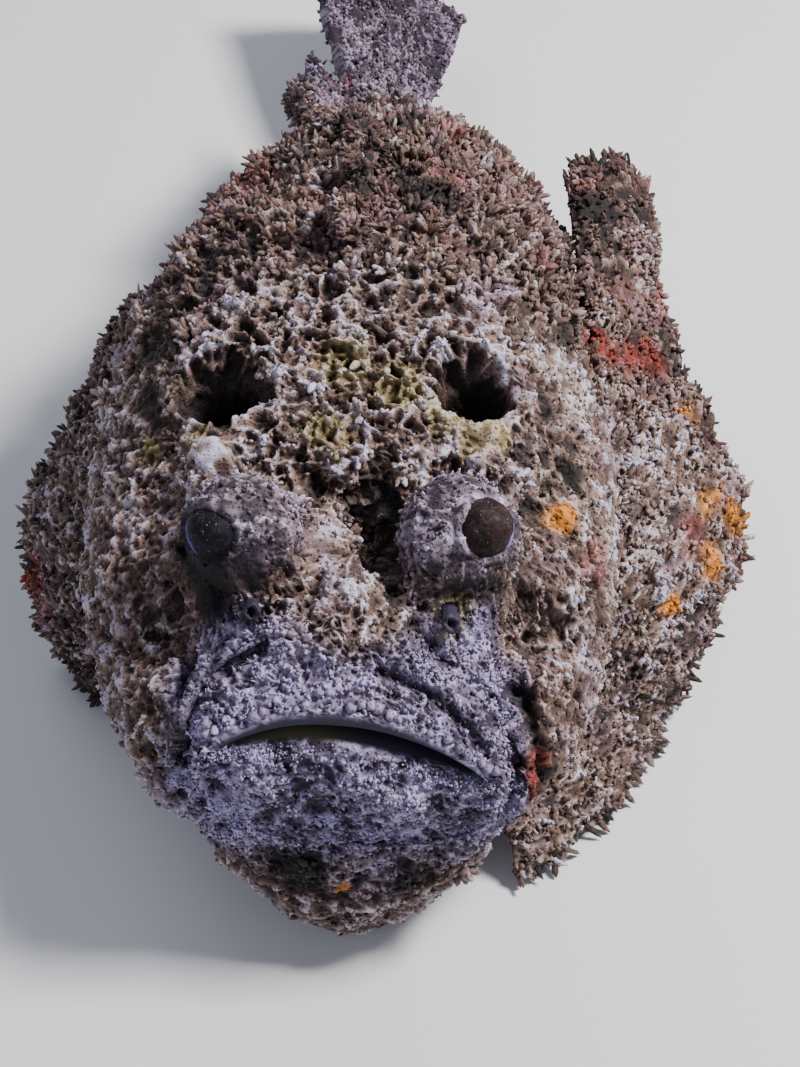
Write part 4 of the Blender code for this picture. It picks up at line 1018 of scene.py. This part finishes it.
uprightWarts = dict(tall=(0.8, 2.6), wide=(0.4, 0.75), rim=240, rimTall=(1.2, 3.2))
finCrust = {  # how many warts stand on each fin's faces and along its rim, and their sizes in mm
    "pectoral": dict(count=3500, tall=(0.6, 2.4), wide=(0.38, 0.75), rim=620, rimTall=(1.6, 5.0)),
    "dorsalSpines": dict(count=2200, **uprightWarts),
    "dorsalRays": dict(count=1100, **uprightWarts),
    "analFin": dict(count=300, **uprightWarts),
    "tailFan": dict(count=1600, tall=(0.6, 1.8), wide=(0.38, 0.7), rim=240, rimTall=(1.0, 2.6)),
}


def finSheet(name, middle, half, node, crusted, seed):
    # two crusted faces half a thickness either side of a middle surface, joined round the edge
    normals = gridNormals(middle, closed=False)
    rows, columns = middle.shape[:2]
    where = masks(middle)
    ends = smoothStep(np.abs(np.linspace(-1, 1, columns)), 0.955, 1.0)[None]
    tips = smoothStep(np.linspace(0, 1, rows), 0.95, 1.0)[:, None]
    half = half * np.sqrt(np.clip(1 - np.maximum(ends, tips) ** 2, 0.05, 1))
    fade = (1 - smoothStep(np.linspace(0, 1, rows), 0.97, 1.0))[:, None] * crusted
    sides, lights = [], []
    for sign in (1.0, -1.0):
        side = middle + normals * half[..., None] * sign
        rise, light = texture(side, where, seed)
        sides.append(side + normals * (sign * fade * (0.7 * rise + 0.1))[..., None])
        lights.append(light)
    points = np.concatenate([side.reshape(-1, 3) for side in sides])
    points[:, 2] = np.maximum(points[:, 2], 0.0)
    i, j = (g.ravel() for g in np.meshgrid(np.arange(rows - 1), np.arange(columns - 1), indexing="ij"))
    a, b = i * columns + j, i * columns + j + 1
    upper = np.stack([a, a + columns, b + columns, b], axis=1)
    other = rows * columns
    number = np.arange(other).reshape(rows, columns)
    ring = np.concatenate([number[0, :-1], number[:-1, -1], number[-1, :0:-1], number[:0:-1, 0]])
    ahead = np.roll(ring, -1)
    rim = np.stack([ring, ahead, other + ahead, other + ring], axis=1)
    quads = np.concatenate([upper, other + upper[:, ::-1], rim])
    grid = np.meshgrid(np.linspace(0, 1, rows), np.linspace(0, 0.48, columns), indexing="ij")
    grid = np.stack(grid, axis=-1)
    uv = np.concatenate([grid.reshape(-1, 2), (grid + (0, 0.5)).reshape(-1, 2)])
    layers = {k: np.tile(v.ravel(), 2) for k, v in where.items()}
    layers["height"] = np.concatenate([light.ravel() for light in lights])
    layers["shine"] = layers["gum"] = np.zeros(len(points))
    piece = makePiece(name, points, quads, [], skinLook, layers, vertexUv=uv)
    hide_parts(node)
    node + "_skin"
    return sides, normals, where, lights


def finCoat(name, made, node, seed, count, tall, wide, rim, rimTall, rimWide=(0.5, 0.95)):
    # crumbs and spikes over both faces, and longer ones that stand out from the rim
    sides, normals, where, lights = made
    rng = np.random.default_rng(seed)
    rows, columns = sides[0].shape[:2]
    parts = []
    for side, sign, share, light in ((sides[0], 1.0, 0.68, lights[0]), (sides[1], -1.0, 0.32, lights[1])):
        rooted = smoothStep(np.arange(rows) / rows, 0.04, 0.12)[:, None]
        density = rooted * smoothStep(side[..., 2], 1.5, 5.0) * (0.1 + smoothStep(light, 0.36, 0.62))
        i, j, f, g = scatter(side, density, int(count * share), rng)
        ways = unit(onGrid(normals, i, j, f, g) * sign + rng.normal(0, 0.32, (len(i), 3)))
        heights = rng.uniform(0, 1, len(i)) ** 1.8 * (tall[1] - tall[0]) + tall[0]
        parts.append((onGrid(side, i, j, f, g), ways, heights, rng.uniform(*wide, len(i)), i, j))
    edge = (sides[0][-1] + sides[1][-1]) / 2
    outward = unit(edge - (sides[0][-3] + sides[1][-3]) / 2)
    j = rng.integers(0, columns, rim)
    ways = unit(outward[j] + rng.normal(0, 0.3, (rim, 3)))
    heights, radii = rng.uniform(*rimTall, rim), rng.uniform(*rimWide, rim)
    parts.append((edge[j] - outward[j] * 0.8, ways, heights, radii, np.full(rim, rows - 1), j))
    roots, ways, heights, radii, i, j = (np.concatenate(p) for p in zip(*parts))
    layers = {k: v[i, j] for k, v in where.items()}
    layers["height"] = lights[0][i, j]
    layers["shine"] = layers["gum"] = np.zeros(len(i))
    uv = np.stack([i / (rows - 1), j / (columns - 1) * 0.48], axis=-1)
    coatPiece(name, "spike", roots, ways, unit(rng.normal(0, 1, roots.shape)), heights, radii, layers, uv,
              rng)


def pectoralGrid(root, rim, side, rows=72, columns=260):
    # straight lines from the base curve to the rim curve, lifted in the middle, longer along each ray
    share = np.linspace(0.0, 1.0, columns)
    depth = np.linspace(0.0, 1.0, rows)
    base = spline(root, share * (len(root) - 1))
    edge = spline(rim, share * (len(rim) - 1))
    ridge = -np.cos(share * 13 * 2 * math.pi)
    reach = depth[:, None] * (0.975 + 0.02 * ridge[None] * depth[:, None] ** 3)
    middle = base[None] + (edge - base)[None] * reach[..., None]
    rise = 9.0 * np.sin(math.pi * depth)[:, None] * (1 - 0.75 * share)[None]
    middle[..., 0] += 0.35 * rise
    middle[..., 2] += rise + 0.5
    middle[..., 0] *= side
    fleshy = 0.4 + 0.6 * smoothStep(share, 0.0, 0.25)
    half = 0.9 + 3.6 * (1 - depth)[:, None] * fleshy + (0.2 + 0.5 * depth)[:, None] * ridge[None]
    return middle, half


def pelvicGrid(side, rows=30, columns=90):
    # straight lines from the base curve to the rim curve, longer and thicker along each ray
    share = np.linspace(0.0, 1.0, columns)
    depth = np.linspace(0.0, 1.0, rows)
    base = spline(fins["pelvicBase"], share * (len(fins["pelvicBase"]) - 1))
    edge = spline(fins["pelvicRim"], share * (len(fins["pelvicRim"]) - 1))
    ridge = -np.cos(share * 6 * 2 * math.pi)
    middle = base[None] + (edge - base)[None] * (depth[:, None] * (0.96 + 0.03 * ridge[None]))[..., None]
    middle[..., 0] *= side
    half = np.broadcast_to((1.5 - 0.6 * depth)[:, None] + 0.2 * ridge[None], middle.shape[:2])
    return middle, half


for word, side in (("left", 1.0), ("right", -1.0)):
    cap, node = word.capitalize(), "pectoral_fin_" + word
    middle, half = pectoralGrid(fins[word + "Base"], fins[word + "Rim"], side)
    made = finSheet("pectoral" + cap, middle, half, node, 1.0, 131)
    finCoat("coatPectoral" + cap, made, node, 51 + int(side), **finCrust["pectoral"])
    finSheet("pelvic" + cap, *pelvicGrid(side), "pelvic_fin_" + word, 0.3, 141)


def uprightGrid(reach, degrees, tall, notch, lean, thick, zigzag, aside, columns=180, rows=30):
    # rays standing on the back or the vent line: their heights follow a wave between ray and notch
    rings = np.linspace(9.0, 18.9, 240)
    line, lineNormals, lineWays = surfaceAt(rings, np.full(240, math.radians(degrees)))
    y = np.linspace(*reach, columns)
    point, normal, along = (np.stack([np.interp(y, line[:, 1], values[:, k]) for k in range(3)], axis=-1)
                            for values in (line, lineNormals, lineWays))
    share = np.linspace(0, 1, columns)
    wave = 0.5 + 0.5 * np.cos(share * (len(tall) - 1) * 2 * math.pi)
    height = np.interp(share, np.linspace(0, 1, len(tall)), tall)
    height = height * (notch + (1 - notch) * wave ** 1.5) * 0.9
    way = unit(normal * math.cos(lean) + along * math.sin(lean) + np.array(aside))
    depth = np.linspace(0, 1, rows)[:, None]
    middle = point - normal * 4.0 + way * (height[:, None] + 4.0) * depth[..., None]
    middle[..., 0] += zigzag * np.cos(share * (len(tall) - 1) * math.pi) * wave * depth
    middle[..., 2] = np.maximum(middle[..., 2], 1.2)
    half = (thick[0] + (thick[1] - thick[0]) * depth) * (0.55 + 0.45 * wave)[None]
    return middle, half


upright = {
    "dorsalSpines": dict(reach=(101.0, 201.0), degrees=90.0, notch=0.6,
                         tall=[14, 17, 19, 18, 18, 17, 17, 16, 16, 15, 14, 13, 12],
                         lean=math.radians(54.0), thick=(2.8, 1.3), zigzag=2.0, aside=(0.0, 0.0, 0.0)),
    "dorsalRays": dict(reach=(209.0, 270.0), degrees=90.0, tall=[20, 23, 25, 26, 26, 25, 23], notch=0.82,
                       lean=math.radians(40.0), thick=(1.8, 0.8), zigzag=0.0, aside=(0.0, 0.0, 0.0)),
    "analFin": dict(reach=(206.0, 252.0), degrees=-90.0, tall=[9, 11, 13, 15, 16, 16, 14, 11], notch=0.82,
                    lean=math.radians(45.0), thick=(1.4, 0.7), zigzag=0.0, aside=(0.9, 0.0, 0.25)),
}
uprightNodes = {"dorsalSpines": "dorsal_fin_spiny", "dorsalRays": "dorsal_fin_soft", "analFin": "anal_fin"}
for seed, (name, node) in enumerate(uprightNodes.items(), 61):
    made = finSheet(name, *uprightGrid(**upright[name]), node, 0.8, 151)
    finCoat("coat" + name[0].upper() + name[1:], made, node, seed, **finCrust[name])


def tailGrid(rows=60, columns=130):
    # a fan of rays from the tail's root, rolled over with the rear of the body
    share = np.linspace(-1.0, 1.0, columns)[None]
    depth = np.linspace(0.0, 1.0, rows)[:, None]
    ridge = np.cos(share * 6 * 2 * math.pi)
    roll = math.radians(62.0)
    spread = share * (12.0 + 18.5 * depth ** 0.8) * (1 + 0.02 * ridge * depth)
    x = body["bend"] + 1.5 * depth - spread * math.sin(roll)
    y = 280.0 + 77.0 * depth * (1 - 0.06 * share ** 2) + 1.2 * ridge * depth ** 3
    z = 29.0 - 1.5 * depth + spread * math.cos(roll)
    half = (2.6 - 1.9 * depth) + (0.3 + 0.15 * depth) * ridge
    return np.stack([x, y, z], axis=-1), np.maximum(half, 0.45)


made = finSheet("tailFan", *tailGrid(), "tail_fin", 0.6, 161)
finCoat("coatTailFan", made, "tail_fin", 64, **finCrust["tailFan"])
print("fins made")


# Floor, light and camera
lights = {  # where each lamp stands, its size in metres, its watts and its colour
    "keyLight": ((0.55, 0.05, 0.80), 0.22, 21.0, (1.0, 0.97, 0.93)),
    "fillLight": ((-0.5, -0.9, 0.6), 0.9, 4.0, (0.82, 0.86, 1.0)),
    "backLight": ((-0.5, 0.8, 0.7), 0.6, 5.0, (0.86, 0.90, 1.0)),
}
lampAim = Vector((0, 0.02, 0.05))


def makeStage():
    # a square of pale floor just under the fish, three soft lights and a plain sky
    half, level = 2.5, -0.0002
    mesh = bpy.data.meshes.new("floor")
    corners = [(x, y, level) for x, y in ((-half, -half), (half, -half), (half, half), (-half, half))]
    mesh.from_pydata(corners, [], [(0, 1, 2, 3)])
    floor = bpy.data.objects.new("floor", mesh)
    bpy.context.scene.collection.objects.link(floor)
    made, shader, _ = newMaterial("paleFloor", 0.9, 0.2)
    shader.inputs["Base Color"].default_value = (0.62, 0.62, 0.64, 1.0)
    mesh.materials.append(made)
    floor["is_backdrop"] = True
    for name, (place, size, power, colour) in lights.items():
        lamp = bpy.data.lights.new(name, "AREA")
        lamp.size, lamp.energy, lamp.color = size, power, colour
        light = bpy.data.objects.new(name, lamp)
        light.location = place
        light.rotation_mode = "QUATERNION"
        light.rotation_quaternion = (lampAim - light.location).to_track_quat("-Z", "Y")
        bpy.context.scene.collection.objects.link(light)
    world = bpy.data.worlds.new("softRoom")
    world.use_nodes = True
    world.node_tree.nodes["Background"].inputs["Color"].default_value = (0.72, 0.76, 0.86, 1.0)
    world.node_tree.nodes["Background"].inputs["Strength"].default_value = 0.28
    bpy.context.scene.world = world


def makeCamera():
    # the point between the eyes is seen at its pixel of the photograph, from 48 degrees above the horizon
    pictureWide, pictureTall, focalPixels = 800, 1067, 2343.0
    pixel = (350.0, 526.0)
    target = Vector((0.0, (40.0 - bellyOrigin) * mm, 95.0 * mm))
    rise, distance = math.radians(48.0), 0.55
    back = Vector((0.0, -math.cos(rise), math.sin(rise)))
    lens = bpy.data.cameras.new("camera")
    lens.sensor_width = 36.0
    lens.lens = focalPixels * lens.sensor_width / pictureTall
    lens.shift_x = (pictureWide / 2 - pixel[0]) / pictureTall
    lens.shift_y = -(pictureTall / 2 - pixel[1]) / pictureTall
    lens.clip_start = 0.01
    camera = bpy.data.objects.new("camera", lens)
    camera.location = target + back * distance
    camera.rotation_mode = "QUATERNION"
    camera.rotation_quaternion = (-back).to_track_quat("-Z", "Y")
    bpy.context.scene.collection.objects.link(camera)
    bpy.context.scene.camera = camera


makeStage()
makeCamera()
low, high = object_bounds()
print("cad", [round(v, 4) for v in (*cadLow, *cadHigh)])
print("visual", [round(v, 4) for v in (*low, *high)])
